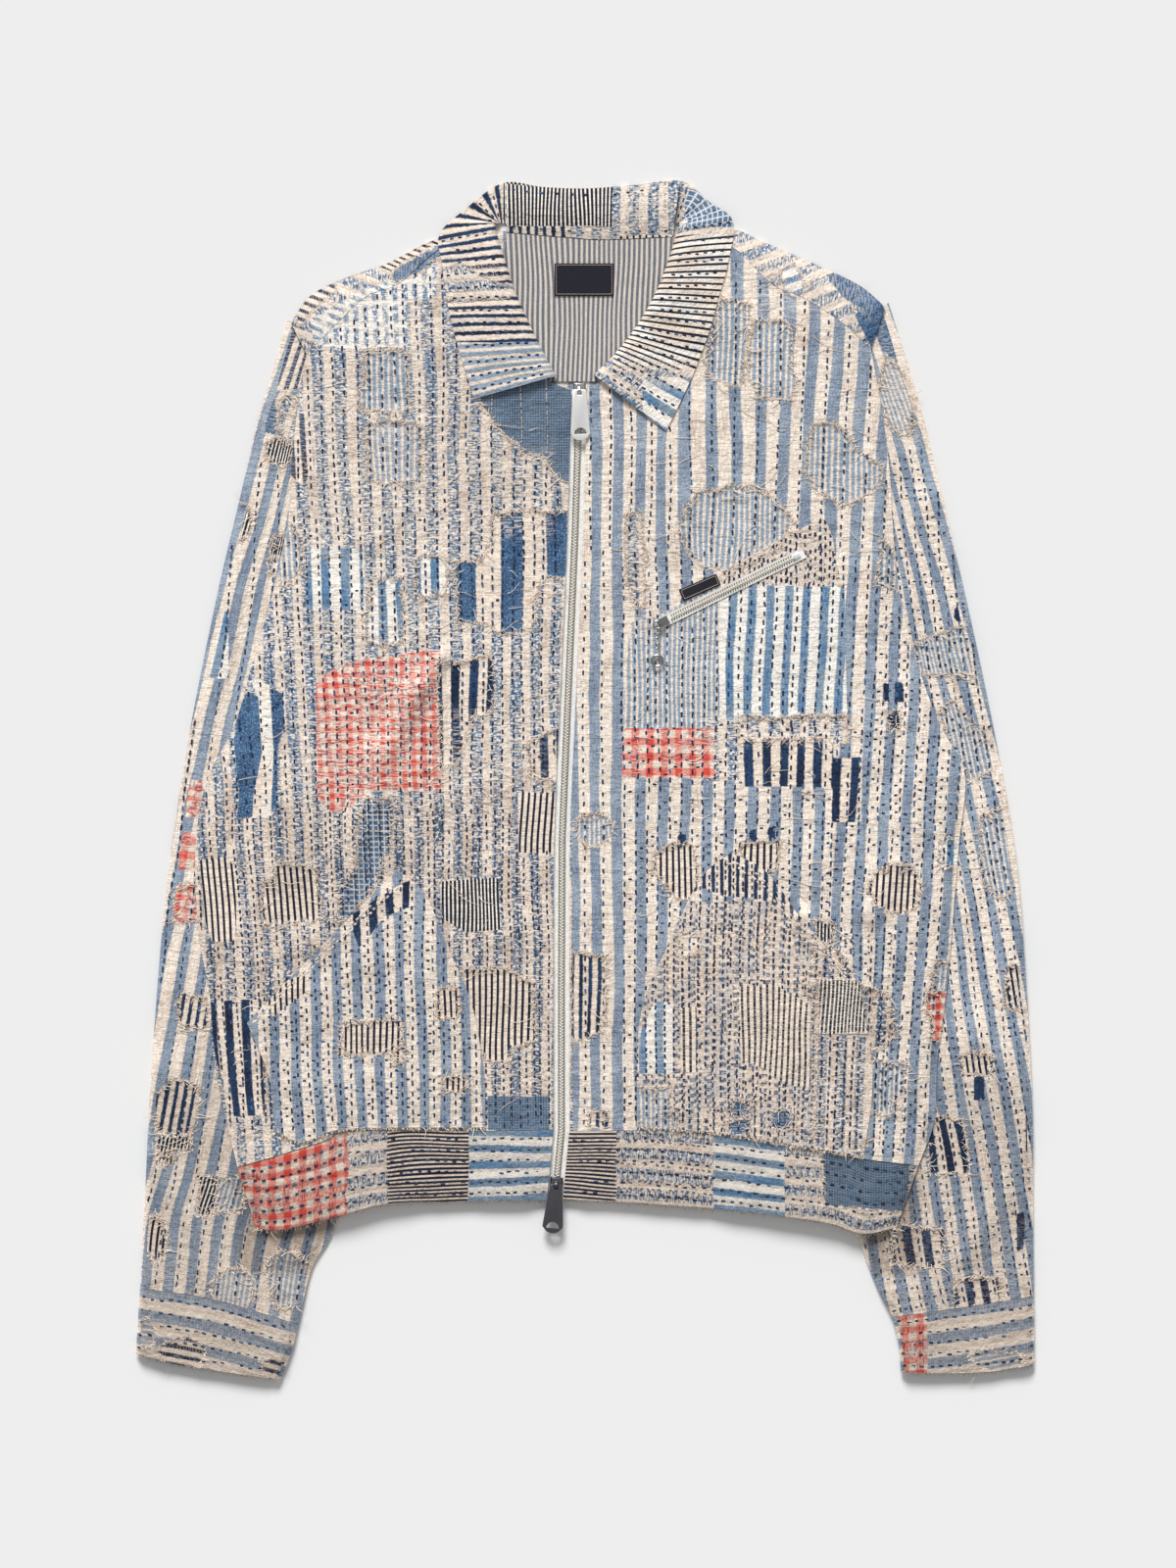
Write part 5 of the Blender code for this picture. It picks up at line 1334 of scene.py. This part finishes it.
def dashes(name, places, angles, length, heights, material, width=STITCH_WIDTH, shade=None,
           under=False):
    """Many stitches joined into one piece."""
    count = len(places)
    long = np.broadcast_to(length, count)
    cos, sin = np.cos(angles)[:, None], np.sin(angles)[:, None]
    along = DASH_POINTS[None, :, 0] * long[:, None]
    side = DASH_POINTS[None, :, 1] * width
    lift = DASH_POINTS[None, :, 2] * (-STITCH_RISE if under else STITCH_RISE)
    x = places[:, :1] + along * cos - side * sin
    y = places[:, 1:] + along * sin + side * cos
    z = np.asarray(heights)[:, None] + lift
    points = np.stack([x, y, z], axis=-1).reshape(-1, 3)
    faces = copied(DASH_FACES, count, len(DASH_POINTS))
    piece = mesh_piece(name, points, faces, material, flat=True)
    if shade is None:
        shade = np.full(count, 0.5)
    store(piece, "shade", np.repeat(shade, len(DASH_POINTS)))
    return piece


def thread_material(name, dark, light):
    """Cotton thread, each stitch rubbed a little differently."""
    dyer = Dyer(name, 0.85)
    colour = dyer.mix(dyer.rise(dyer.mask("shade"), 0.35, 1.0), dark, light)
    dyer.dress(dyer.shader, Base_Color=colour)
    return dyer.material


def threads(name, starts, angles, lengths, heights, material, seed, thick=YARN_THICK):
    """Loose yarn ends, each a thin bent strand of three sides that lies on the cloth."""
    luck = np.random.default_rng(seed)
    count = len(starts)
    share = np.linspace(0.0, 1.0, 6)[None]
    way = np.stack([np.cos(angles), np.sin(angles)], axis=-1)
    side = np.stack([-way[:, 1], way[:, 0]], axis=-1)
    bow = luck.normal(0.0, 0.20, count) * lengths
    curl = luck.normal(0.0, 0.07, count) * lengths
    off = bow[:, None] * share ** 2 + curl[:, None] * np.sin(share * 5.0)
    spine = starts[:, None] + way[:, None] * (lengths[:, None] * share)[..., None]
    spine = spine + side[:, None] * off[..., None]
    level = heights(spine.reshape(-1, 2)).reshape(count, -1)
    level = level + 0.0003 + 0.0010 * luck.random((count, 1)) * np.sin(share * math.pi)
    radius = thick * (1.0 - 0.55 * share)
    rings = []
    for turn in (0.5, 2.6, 4.7):
        flat = spine + side[:, None] * (radius * math.cos(turn))[..., None]
        rings.append(np.concatenate([flat, (level + radius * math.sin(turn))[..., None]], axis=-1))
    points = np.stack(rings, axis=2).reshape(-1, 3)
    faces = []
    for ring in range(5):
        for corner in range(3):
            a, b = ring * 3 + corner, ring * 3 + (corner + 1) % 3
            faces += [(a, b, b + 3), (a, b + 3, a + 3)]
    faces = copied(np.array(faces + [(2, 1, 0), (15, 16, 17)]), count, 18)
    piece = mesh_piece(name, points, faces, material, flat=True)
    store(piece, "shade", np.repeat(luck.random(count), 18))


def fray(name, layer, heights, material, within, clear_of, seed):
    """Yarn ends round the torn edges of a layer, mostly along the crosswise yarns."""
    luck = np.random.default_rng(seed)
    starts = torn_edges(layer, 0.0016)
    keep = depth_in(starts, within) > 0.004
    for outline in clear_of:
        keep &= ~inside(starts, outline)
    starts = starts[keep] + luck.normal(0.0, 0.0008, (keep.sum(), 2))
    angles = luck.normal(0.0, 0.55, len(starts)) + math.pi * (luck.random(len(starts)) > 0.5)
    angles = angles + (luck.random(len(starts)) < 0.3) * math.pi / 2
    lengths = luck.uniform(0.0015, 0.0055, len(starts)) + 0.006 * (luck.random(len(starts)) < 0.06)
    threads(name, starts, angles, lengths, heights, material, seed)


def edge_fray(name, line, heights, material, seed):
    """Short yarn ends that hang down from a cloth's cut edge."""
    luck = np.random.default_rng(seed)
    starts = spaced(line, int(length_of(line) / 0.0011))
    starts = starts + luck.normal(0.0, 0.0006, starts.shape)
    angles = -math.pi / 2 + luck.normal(0.0, 0.7, len(starts))
    lengths = luck.uniform(0.0012, 0.0034, len(starts)) + 0.005 * (luck.random(len(starts)) < 0.04)
    threads(name, starts, angles, lengths, heights, material, seed)


def make_frays(rows_of):
    pale = bpy.data.materials["pale thread"]
    body, collar = np.array(BODY_OUTLINE), edge_of(rows_of["collar"])
    for side, sign, left, right, most in (("right", -1, -0.25, -0.03, 260),
                                          ("left", 1, 0.03, 0.19, 110)):
        front = edge_of(rows_of["front_" + side])
        pocket_rows = rows_of["pocket_" + side]
        pocket = edge_of(pocket_rows)
        fray("front_frays_" + side, "front", front_skin, pale, front, [pocket, collar], 80 + sign)
        fray("pocket_frays_" + side, "pocket", lambda p: pocket_top(p, pocket_rows), pale, pocket,
             [], 84 + sign)
        edge_fray("pocket_foot_frays_" + side, pocket_rows[0],
                  lambda p: front_skin(p) + 0.0010, pale, 88 + sign)
        sleeve = edge_of(rows_of["sleeve_" + side])
        fray("sleeve_frays_" + side, "sleeve", sleeve_skin, pale, sleeve, [body], 92 + sign)
        edge_fray("cuff_frays_" + side, rows_of["cuff_" + side][-1],
                  lambda p: 0.5 * sleeve_top(p), pale, 96 + sign)
        edge_fray("hem_frays_" + side, rows_of["band_" + side][0],
                  lambda p: back_low(p) + 0.0022, pale, 100 + sign)
        luck = np.random.default_rng(104 + sign)
        starts = np.stack([luck.uniform(left, right, 260), luck.uniform(-0.23, 0.33, 260)], axis=-1)
        keep = (depth_in(starts, front) > 0.012) & ~inside(starts, pocket)
        starts = starts[keep & ~inside(starts, collar)][:most]
        threads("loose_yarns_" + side, starts, luck.normal(0.0, 0.5, len(starts)),
                luck.uniform(0.006, 0.020, len(starts)), front_skin, pale, 108 + sign, 0.00026)


# Running stitches, in millimetres: the left, right, low and high sides, columns this far
# apart, a stitch at each step, its length, and the share of stitches with one across.
STITCHES = {
    "front": [
        (-212, -18, 186, 352, 7.6, 6.2, 3.0, 0.00), (-264, -18, -20, 186, 7.0, 6.2, 3.0, 0.05),
        (-272, -18, -244, -20, 5.3, 5.2, 2.7, 0.05), (-4, 214, 160, 366, 13.8, 6.2, 3.0, 0.00),
        (24, 190, 36, 160, 7.6, 6.6, 3.2, 0.00), (24, 190, -30, 36, 7.6, 6.6, 3.2, 0.30),
        (190, 264, -30, 160, 7.6, 6.6, 3.2, 0.60), (24, 256, -262, -30, 7.6, 6.8, 3.2, 0.40),
        (-8, 24, -244, 160, 14.0, 7.6, 2.7, 0.00)],
    "pocket": [
        (-232, -66, -250, -60, 7.6, 6.4, 3.0, 0.55), (34, 200, -262, -50, 6.0, 5.0, 2.6, 0.10)],
}


def stitch_lines(table, seed):
    """Places, angles and lengths of the running stitches in a table."""
    luck = np.random.default_rng(seed)
    places, angles, lengths = [], [], []
    for *sizes, ticks in table:
        left, right, low, high, gap, step, long = (value * MM for value in sizes)
        for x in np.arange(left + gap / 2, right, gap):
            x = x + luck.normal(0.0, 0.0006)
            y = np.arange(low + luck.random() * step, high, step)
            y = y + luck.normal(0.0, 0.0005, len(y))
            y = y[luck.random(len(y)) > 0.07]
            way = np.stack([np.full(len(y), x), y], axis=-1)
            lean = 0.10 * max(min(abs(x), 0.26) - 0.06, 0.0) * math.copysign(1, x) / 0.15
            way[:, 0] += 0.0032 * (rumple(way, 0.04, 31) - 0.5) + lean * (y + 0.05) * 0.55
            places.append(way)
            angles.append(math.pi / 2 - math.atan(lean * 0.55) + luck.normal(0.0, 0.10, len(y)))
            lengths.append(long * luck.uniform(0.95, 1.35, len(y)))
            across = luck.random(len(y)) < ticks
            places.append(way[across] + (gap * 0.5, step * 0.5))
            angles.append(luck.normal(0.0, 0.12, across.sum()))
            lengths.append(long * luck.uniform(0.6, 0.9, across.sum()))
    return np.vstack(places), np.concatenate(angles), np.concatenate(lengths)


def cross_lines(rows, count, step, long, seed, margin=0.12):
    """Stitches in rows across a band of cloth, the way its length runs."""
    luck = np.random.default_rng(seed)
    places, angles = [], []
    for share in np.linspace(margin, 1 - margin, count):
        at = share * (len(rows) - 1)
        low = int(at)
        line = rows[low] * (1 - at + low) + rows[min(low + 1, len(rows) - 1)] * (at - low)
        middle, way = between(spaced(line, max(int(length_of(line) / step), 2)))
        middle = middle + luck.normal(0.0, 0.0005, middle.shape)
        keep = luck.random(len(middle)) > 0.08
        places.append(middle[keep])
        angles.append((way + luck.normal(0, 0.10, len(way)))[keep])
    angles = np.concatenate(angles)
    return np.vstack(places), angles, long * luck.uniform(0.75, 1.15, len(angles))


def sleeve_lines(edges, gap, step, long, seed, ticks=0.0):
    """Running stitches down the length of a sleeve."""
    luck = np.random.default_rng(seed)
    middle = (flowing(edges["outer"], 120) + flowing(edges["inner"], 120)) / 2
    way = np.gradient(middle, axis=0)
    way /= np.linalg.norm(way, axis=1, keepdims=True)
    run = run_of(middle, 0)
    places, angles, lengths = [], [], []
    for off in np.arange(-0.075, 0.075, gap):
        at = np.arange(luck.random() * step, run[-1], step)
        at = at + luck.normal(0.0, 0.0005, len(at))
        x, y, way_x, way_y = (np.interp(at, run, curve) for curve in (*middle.T, *way.T))
        base, side = np.stack([x, y], axis=-1), np.stack([way_y, -way_x], axis=-1)
        tilt = np.arctan2(way_y, way_x)
        wander = 0.003 * (rumple(base + off * 3, 0.04, 33) - 0.5)
        places.append(base + side * (off + wander)[:, None])
        angles.append(tilt + luck.normal(0, 0.10, len(at)))
        lengths.append(long * luck.uniform(0.95, 1.35, len(at)))
        across = luck.random(len(at)) < ticks
        places.append(places[-1][across] + side[across] * gap * 0.5)
        angles.append(tilt[across] + math.pi / 2 + luck.normal(0, 0.1, across.sum()))
        lengths.append(long * luck.uniform(0.6, 0.9, across.sum()))
    return np.vstack(places), np.concatenate(angles), np.concatenate(lengths)


def sew(name, found, heights, material, within, clear_of=(), under=False, seed=1,
        width=STITCH_WIDTH):
    """Lays stitches on a layer, inside its outline and clear of what lies on it."""
    places, angles, lengths = found
    keep = depth_in(places, within) > 0.0022
    for outline in clear_of:
        keep &= ~inside(places, outline)
    places, angles, lengths = places[keep], angles[keep], lengths[keep]
    shade = np.random.default_rng(seed).random(len(places)) ** 1.6
    piece = dashes(name, places, angles, lengths, heights(places), material, width, shade, under)


def band_top(outline, skin, high):
    """The upper side of a band that arches between its seams."""
    def top(places):
        off = np.clip(depth_in(places, outline) / 0.025, 0, 1)
        return skin(places) + high * np.sin(off * math.pi / 2) ** 0.6
    return top


def make_stitching(rows_of):
    navy = thread_material("navy thread", "thread", "denim")
    pale = thread_material("pale thread", "dust", "white")
    outline_of = {name: edge_of(rows) for name, rows in rows_of.items() if rows.ndim == 3}
    collar, body = outline_of["collar"], np.array(BODY_OUTLINE)
    check = [patch_line(edge, sizes) for fabric, sizes, *edge in PATCHES["front"]
             if fabric == "micro check"][0]
    sew("denim_stitches", stitch_lines([(-75, -8, 206, 286, 19.0, 2.2, 1.5, 0.0)], 3),
        front_skin, pale, check, [collar], seed=3, width=FINE_STITCH)
    bare = {layer: [patch_line(edge, sizes) for fabric, sizes, *edge in PATCHES[layer]
                    if fabric in ("fine lines", "dense lines")] for layer in ("front", "pocket")}
    for side, sign, edges, gap, ticks in (("right", -1, SLEEVE_RIGHT, 0.0143, 0.0),
                                          ("left", 1, SLEEVE_LEFT, 0.0077, 0.5)):
        pocket_rows, pocket = rows_of["pocket_" + side], outline_of["pocket_" + side]
        table = {layer: [row for row in STITCHES[layer] if (row[0] + row[1]) * sign > 0]
                 for layer in STITCHES}
        sew("front_stitches_" + side, stitch_lines(table["front"], 5 + sign), front_skin, navy,
            outline_of["front_" + side], [pocket, collar, check, *bare["front"]], seed=5 + sign)

        def on_pocket(places):
            return pocket_top(places, pocket_rows)

        sew("pocket_stitches_" + side, stitch_lines(table["pocket"], 9 + sign), on_pocket, navy,
            pocket, bare["pocket"], seed=9 + sign)
        found = cross_lines(pocket_rows[[-3, -4]], 2, 0.0042, 0.0026, 14, 0.0)
        sew("pocket_edge_" + side, found, on_pocket, pale, pocket, seed=14)
        band = outline_of["band_" + side]
        found = cross_lines(rows_of["band_" + side], 6, 0.0062, 0.0031, 17)
        sew("waistband_stitches_" + side, found, band_top(band, front_skin, 0.0010), navy, band,
            seed=17)
        sleeve = SLEEVE_OUTLINES[0 if side == "right" else 1]

        def on_sleeve(places):
            top = sleeve_skin(places)
            drop = rolled(np.maximum(depth_in(places, sleeve), 0.0) / ROLL_REACH)
            return top - 0.0001 - drop * top / 2

        sew("sleeve_stitches_" + side, sleeve_lines(edges, gap, 0.0066, 0.0031, 21 + sign, ticks),
            on_sleeve, navy, outline_of["sleeve_" + side], [body], seed=21)
        cuff = outline_of["cuff_" + side]
        found = cross_lines(rows_of["cuff_" + side], 5, 0.0062, 0.0031, 23)
        on_cuff = band_top(cuff, sleeve_skin, 0.0012)
        sew("cuff_stitches_" + side, found, on_cuff, navy, cuff, seed=23)
        sew("sleeve_under_stitches_" + side, sleeve_lines(edges, 0.0100, 0.0080, 0.0034, 41 + sign),
            lambda places: np.full(len(places), FLOOR_GAP), navy, outline_of["sleeve_" + side],
            under=True, seed=42)
    stitch_collar(rows_of["collar"], rows_of["collar_low"] + CLOTH_SHELL, navy)

    def on_stand(places):
        share = np.clip((places[:, 1] - 0.3765) / 0.0365, 0, 1)
        return CLOTH + SEAM + CLOTH_SHELL + STAND_PUFF * np.sin(math.pi * share)

    sew("stand_stitches", cross_lines(rows_of["stand"], 2, 0.0095, 0.0026, 57), on_stand, navy,
        outline_of["stand"], seed=57)
    back = [(-262, 262, -262, 370, 10.0, 8.0, 3.4, 0.15)]
    sew("back_stitches", stitch_lines(back, 61), lambda places: back_low(places) + FLOOR_GAP, navy,
        body, SLEEVE_OUTLINES, under=True, seed=61)


def stitch_collar(lines, low, thread):
    """Stitches in rows across the collar, from its inner edge to its outer."""
    luck = np.random.default_rng(51)
    places, angles, heights = [], [], []
    run = run_of(lines[:, 12], 0)
    for goal in np.arange(0.004, run[-1], 0.0088):
        at = min(int(np.searchsorted(run, goal)), len(lines) - 1)
        line, level = lines[at], low[at]
        steps = run_of(line, 0)
        for spot in np.arange(0.005 + 0.004 * luck.random(), steps[-1] - 0.003, 0.0058):
            x, y = (np.interp(spot, steps, line[:, axis]) for axis in (0, 1))
            places.append((x, y + luck.normal(0, 0.0004)))
            angles.append(math.atan2(*(line[-1] - line[0])[::-1]) + luck.normal(0, 0.08))
            heights.append(np.interp(spot, steps, level))
    shade = luck.random(len(places)) ** 1.6
    piece = dashes("collar_stitches", np.array(places), np.array(angles), 0.0028,
                   np.array(heights), thread, shade=shade)


# Zips and badges.

# Two teeth of a zip, one from each side, take one pitch. A tooth's width, depth and height.
ZIP_PITCH, CHEST_PITCH, TAPE_GAP, CHEST_HALF = 0.0021, 0.0018, 0.0001, 0.0038
HEADS, FEET = (0.0017, 0.0010, 0.0013), (0.0012, 0.0009, 0.0012)
CHEST_HEADS, CHEST_FEET = (0.0013, 0.0009, 0.0011), (0.0014, 0.0010, 0.0011)
ZIP_LOW, ZIP_HIGH = -0.2745, 0.2640


def along_line(line, cells):
    """Places evenly along a line, and which way it runs at each."""
    places = spaced(line, cells)
    way = np.gradient(places, axis=0)
    return places, way / np.linalg.norm(way, axis=1, keepdims=True)


def tape(name, node, line, low, high, ground, cells):
    """A woven tape between two distances to a line's left side, with a bead by its teeth."""
    places, way = along_line(line, cells)
    left = np.stack([-way[:, 1], way[:, 0]], axis=-1)
    off = np.linspace(low, high, 7)
    rows = places[:, None] + left[:, None] * off[None, :, None]
    near = off[0] if abs(off[0]) < abs(off[-1]) else off[-1]
    bead = 0.0004 * np.exp(-(((off - near) / 0.0007) ** 2))
    height = ground(rows) + SEAM + THIN_SHELL + bead[None]
    grain = np.stack([np.broadcast_to(off[None], rows.shape[:2]), run_of(rows, 0)], axis=-1)
    weave = bpy.data.materials["zip tape weave"]
    piece = shell(name, rows, height - THIN_SHELL, height, weave, grain, {})
    stand_for(node)


def select_only(piece):
    bpy.ops.object.select_all(action="DESELECT")
    piece.select_set(True)
    bpy.context.view_layer.objects.active = piece


def bevelled(piece, width, segments):
    """Breaks the piece's sharp edges, as a cast part has them."""
    bevel = piece.modifiers.new("broken edges", "BEVEL")
    bevel.width = width
    bevel.segments = segments
    bevel.limit_method = "ANGLE"
    bevel.angle_limit = math.radians(40.0)
    bpy.ops.object.modifier_apply(modifier="broken edges")


def smoothed(piece):
    piece.data.shade_smooth()
    piece.data.set_sharp_from_angle(angle=math.radians(35))


def new_block(size, place=(0, 0, 0), turn=0.0):
    bpy.ops.object.select_all(action="DESELECT")
    bpy.ops.mesh.primitive_cube_add(size=1.0, location=place, rotation=(0, 0, turn))
    block = bpy.context.object
    block.scale = size
    bpy.ops.object.transform_apply(location=True, rotation=True, scale=True)
    return block


def one_tooth(width, deep, high):
    """A cast tooth along X: a bevelled block, pinched behind its head."""
    tooth = new_block((width, deep, high))
    bpy.ops.object.mode_set(mode="EDIT")
    shape = bmesh.from_edit_mesh(tooth.data)
    bpy.ops.mesh.select_all(action="DESELECT")
    for vertex in shape.verts:
        if vertex.co.x > 0:
            vertex.co.y *= 0.72
    bmesh.update_edit_mesh(tooth.data)
    bpy.ops.object.mode_set(mode="OBJECT")
    bevelled(tooth, 0.22 * min(deep, high), 1)
    points = np.array([vertex.co for vertex in tooth.data.vertices])
    tooth.data.calc_loop_triangles()
    faces = np.array([tuple(face.vertices) for face in tooth.data.loop_triangles])
    bpy.data.objects.remove(tooth)
    return points, faces


def row_of_teeth(name, line, pitch, size, offset, heights, material, node=None):
    """Two rows of teeth that mesh along a line."""
    points, faces = one_tooth(*size)
    places, way = along_line(line, int(length_of(line) / pitch * 2))
    all_points, all_faces = [], []
    for at, (place, ahead) in enumerate(zip(places, way)):
        side = 1.0 if at % 2 else -1.0
        left = np.array((-ahead[1], ahead[0])) * side
        x = points[:, :1] * -left + points[:, 1:2] * ahead
        z = heights(place[None])[0] + points[:, 2:]
        all_points.append(np.hstack([place + left * offset + x, z]))
        turned = faces if side > 0 else faces[:, ::-1]
        all_faces.append(turned + at * len(points))
    piece = mesh_piece(name, np.vstack(all_points), np.vstack(all_faces), material)
    if node:
        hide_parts(node)


def make_zips():
    woven_material("zip tape weave", "tape", "tape")
    brass = plain_material("pale brass", (0.93, 0.90, 0.83), 0.34, 0.2, 0.08)
    # The teeth's feet are a dark copy of the brass: painted shade for the shadows between the
    # teeth.
    shaded_brass = plain_material("brass in painted shade", (0.28, 0.20, 0.11), 0.42, 0.3, 0.10)
    tape("zip_tape_weave_right", "zip_tape_right", ZIP_LINE, TAPE_GAP, TAPE_REACH, back_top, 170)
    tape("zip_tape_weave_left", "zip_tape_left", ZIP_LINE, -TAPE_REACH, -TAPE_GAP, back_top, 170)
    line = spaced(ZIP_LINE, 400)
    line = line[(line[:, 1] > ZIP_LOW) & (line[:, 1] < ZIP_HIGH)]
    row_of_teeth("zip_teeth_front", line, ZIP_PITCH, HEADS, 0.0005,
                 lambda p: back_top(p) + 0.0017, brass, "zip_chain")
    row_of_teeth("zip_teeth_feet", line, ZIP_PITCH, FEET, 0.0018,
                 lambda p: back_top(p) + 0.0016, shaded_brass)
    tape("chest_tape_weave", "chest_zip_tape", CHEST_ZIP, -CHEST_HALF, CHEST_HALF, front_skin, 50)
    start, end = np.array(CHEST_ZIP)
    chest = [start + (end - start) * 0.10, start + (end - start) * 0.925]
    row_of_teeth("zip_teeth_chest", chest, CHEST_PITCH, CHEST_HEADS, 0.0004,
                 lambda p: front_skin(p) + 0.0015, brass, "chest_zip_chain")
    row_of_teeth("zip_teeth_chest_feet", chest, CHEST_PITCH, CHEST_FEET, 0.0015,
                 lambda p: front_skin(p) + 0.0014, shaded_brass)


def chest_stop():
    """The cast stop at the closed end of the chest zip."""
    start, end = np.array(CHEST_ZIP)
    at = start + (end - start) * 0.952
    height = float(front_skin(at[None])[0]) + 0.0016
    stop = new_block((0.0050, 0.0032, 0.0012), (*at, height), math.atan2(*(end - start)[::-1]))
    bevelled(stop, 0.0004, 2)
    stop.name = "chest_zip_stop"
    stop.data.materials.append(bpy.data.materials["bright nickel"])
    smoothed(stop)
    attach(stop, "jacket")


def chest_chain():
    """Wire links, each turned a quarter from the last, between the slider's link and the ring."""
    low, high = (np.array(corner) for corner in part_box("chest_pull_chain"))
    middle, count = (low + high) / 2, 4
    pitch = (high[1] - low[1]) / count
    links = []
    for at in range(count):
        bpy.ops.object.select_all(action="DESELECT")
        place = (middle[0], high[1] - (at + 0.5) * pitch, middle[2])
        bpy.ops.mesh.primitive_torus_add(location=place, major_radius=0.00125,
                                         minor_radius=0.00042, major_segments=20,
                                         minor_segments=8)
        link = bpy.context.object
        link.scale = (0.92, 1.62, 1.0)
        bpy.ops.object.transform_apply(location=False, rotation=False, scale=True)
        link.rotation_euler = (0.0, math.radians(20 if at % 2 else 110), 0.0)
        bpy.ops.object.transform_apply(location=True, rotation=True, scale=True)
        links.append(link)
    select_only(links[0])
    for link in links:
        link.select_set(True)
    bpy.ops.object.join()
    chain = bpy.context.object
    chain.name = "chest_chain_links"
    chain.data.materials.append(bpy.data.materials["worn nickel"])
    chain.data.shade_smooth()
    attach(chain, "chest_pull")
    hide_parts("chest_pull_chain")


def make_badges():
    black = woven_material("black woven badge", "black", "black", 0.0006)
    gold = thread_material("badge border thread", "dust", "fray shadow")
    woven_badge("neck_badge", "neck_label", LABEL_CENTRE, LABEL_SIZE, 0.0, lining_top, black, gold)
    woven_badge("chest_badge", "chest_tab", TAB_CENTRE, TAB_SIZE, TAB_TILT, front_skin, black,
                gold)


def cast_metal(name, node, material, body):
    """The frame's own shape with its sharp edges broken, as a cast part has them."""
    frame_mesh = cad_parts[node].data
    points = np.array([vertex.co for vertex in frame_mesh.vertices])
    faces = [tuple(face.vertices) for face in frame_mesh.polygons]
    piece = mesh_piece(name, points, faces, material, body)
    select_only(piece)
    bpy.ops.object.mode_set(mode="EDIT")
    bpy.ops.mesh.select_all(action="SELECT")
    bpy.ops.mesh.remove_doubles(threshold=0.00002)
    bpy.ops.mesh.normals_make_consistent(inside=False)
    bpy.ops.mesh.dissolve_limited(angle_limit=math.radians(2.0))
    bpy.ops.object.mode_set(mode="OBJECT")
    bevelled(piece, 0.00028, 2)
    smoothed(piece)
    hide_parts(node)


def dress_metal():
    bright = plain_material("bright nickel", (0.97, 0.97, 0.96), 0.30, 0.5, 0.05, 0.05)
    nickel = plain_material("worn nickel", (0.62, 0.62, 0.60), 0.24, 1.0, 0.08, 0.1)
    dull = plain_material("dull nickel", (0.36, 0.36, 0.35), 0.26, 1.0, 0.08, 0.1)
    gunmetal = plain_material("gunmetal", (0.13, 0.13, 0.15), 0.30, 0.9, 0.10, 0.1)
    for name in ("chest_zip_slider", "chest_zip_eye", "chest_pull_link", "chest_pull_ring"):
        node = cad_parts[name]
        node.data.materials.clear()
        node.data.materials.append(dull)
    chest_stop()
    chest_chain()
    cast_metal("top_slider_body", "zip_slider_top", nickel, "jacket")
    cast_metal("top_pull_tab", "zip_pull_top", bright, "top_pull")
    cast_metal("bottom_slider_body", "zip_slider_bottom", gunmetal, "jacket")
    cast_metal("bottom_pull_tab", "zip_pull_bottom", gunmetal, "bottom_pull")


# The studio. The camera looks straight down and takes in so much of the floor.

EYE_HEIGHT, VIEW_TALL, SENSOR = 5.0, 1.088, 36.0


def make_studio():
    bpy.ops.object.select_all(action="DESELECT")
    bpy.ops.mesh.primitive_plane_add(size=12.0, location=(0, 0, -0.0002))
    floor = bpy.context.object
    floor.name = "studio_floor"
    paper = Finish("studio paper")
    paper.dress(paper.shader, Base_Color=(0.84, 0.84, 0.84, 1.0), Roughness=1.0,
                Specular_IOR_Level=0.0)
    floor.data.materials.append(paper.material)

    scene = bpy.context.scene
    scene.world = bpy.data.worlds.new("studio air")
    scene.world.use_nodes = True
    air = scene.world.node_tree.nodes["Background"]
    air.inputs[0].default_value = (1.0, 1.0, 1.0, 1.0)
    air.inputs[1].default_value = 0.39

    key = bpy.data.lights.new("key", "SUN")
    key.energy, key.angle = 3.44, math.radians(22.0)
    lamp = bpy.data.objects.new("key", key)
    lamp.location = (-0.5, 1.9, 2.4)
    lamp.rotation_euler = (math.radians(-54.0), math.radians(-12.0), 0.0)
    scene.collection.objects.link(lamp)

    camera = bpy.data.cameras.new("camera")
    camera.type = "PERSP"
    camera.sensor_width = SENSOR
    camera.sensor_fit = "AUTO"
    camera.lens = SENSOR * EYE_HEIGHT / VIEW_TALL
    camera.clip_start, camera.clip_end = 0.1, 30.0
    eye = bpy.data.objects.new("camera", camera)
    eye.location = (0.0020, -0.0027, EYE_HEIGHT)
    scene.collection.objects.link(eye)
    scene.camera = eye
    scene.view_settings.view_transform = "Standard"
    scene.view_settings.look = "None"
    scene.view_settings.exposure = 0.0
    scene.view_settings.gamma = 1.0


make_studio()
rows_of = make_fronts()
make_back()
rows_of.update(make_sleeves())
rows_of.update(make_pockets())
rows_of.update(make_collar())
make_lining()
make_badges()
make_zips()
make_stitching(rows_of)
make_frays(rows_of)
dress_metal()
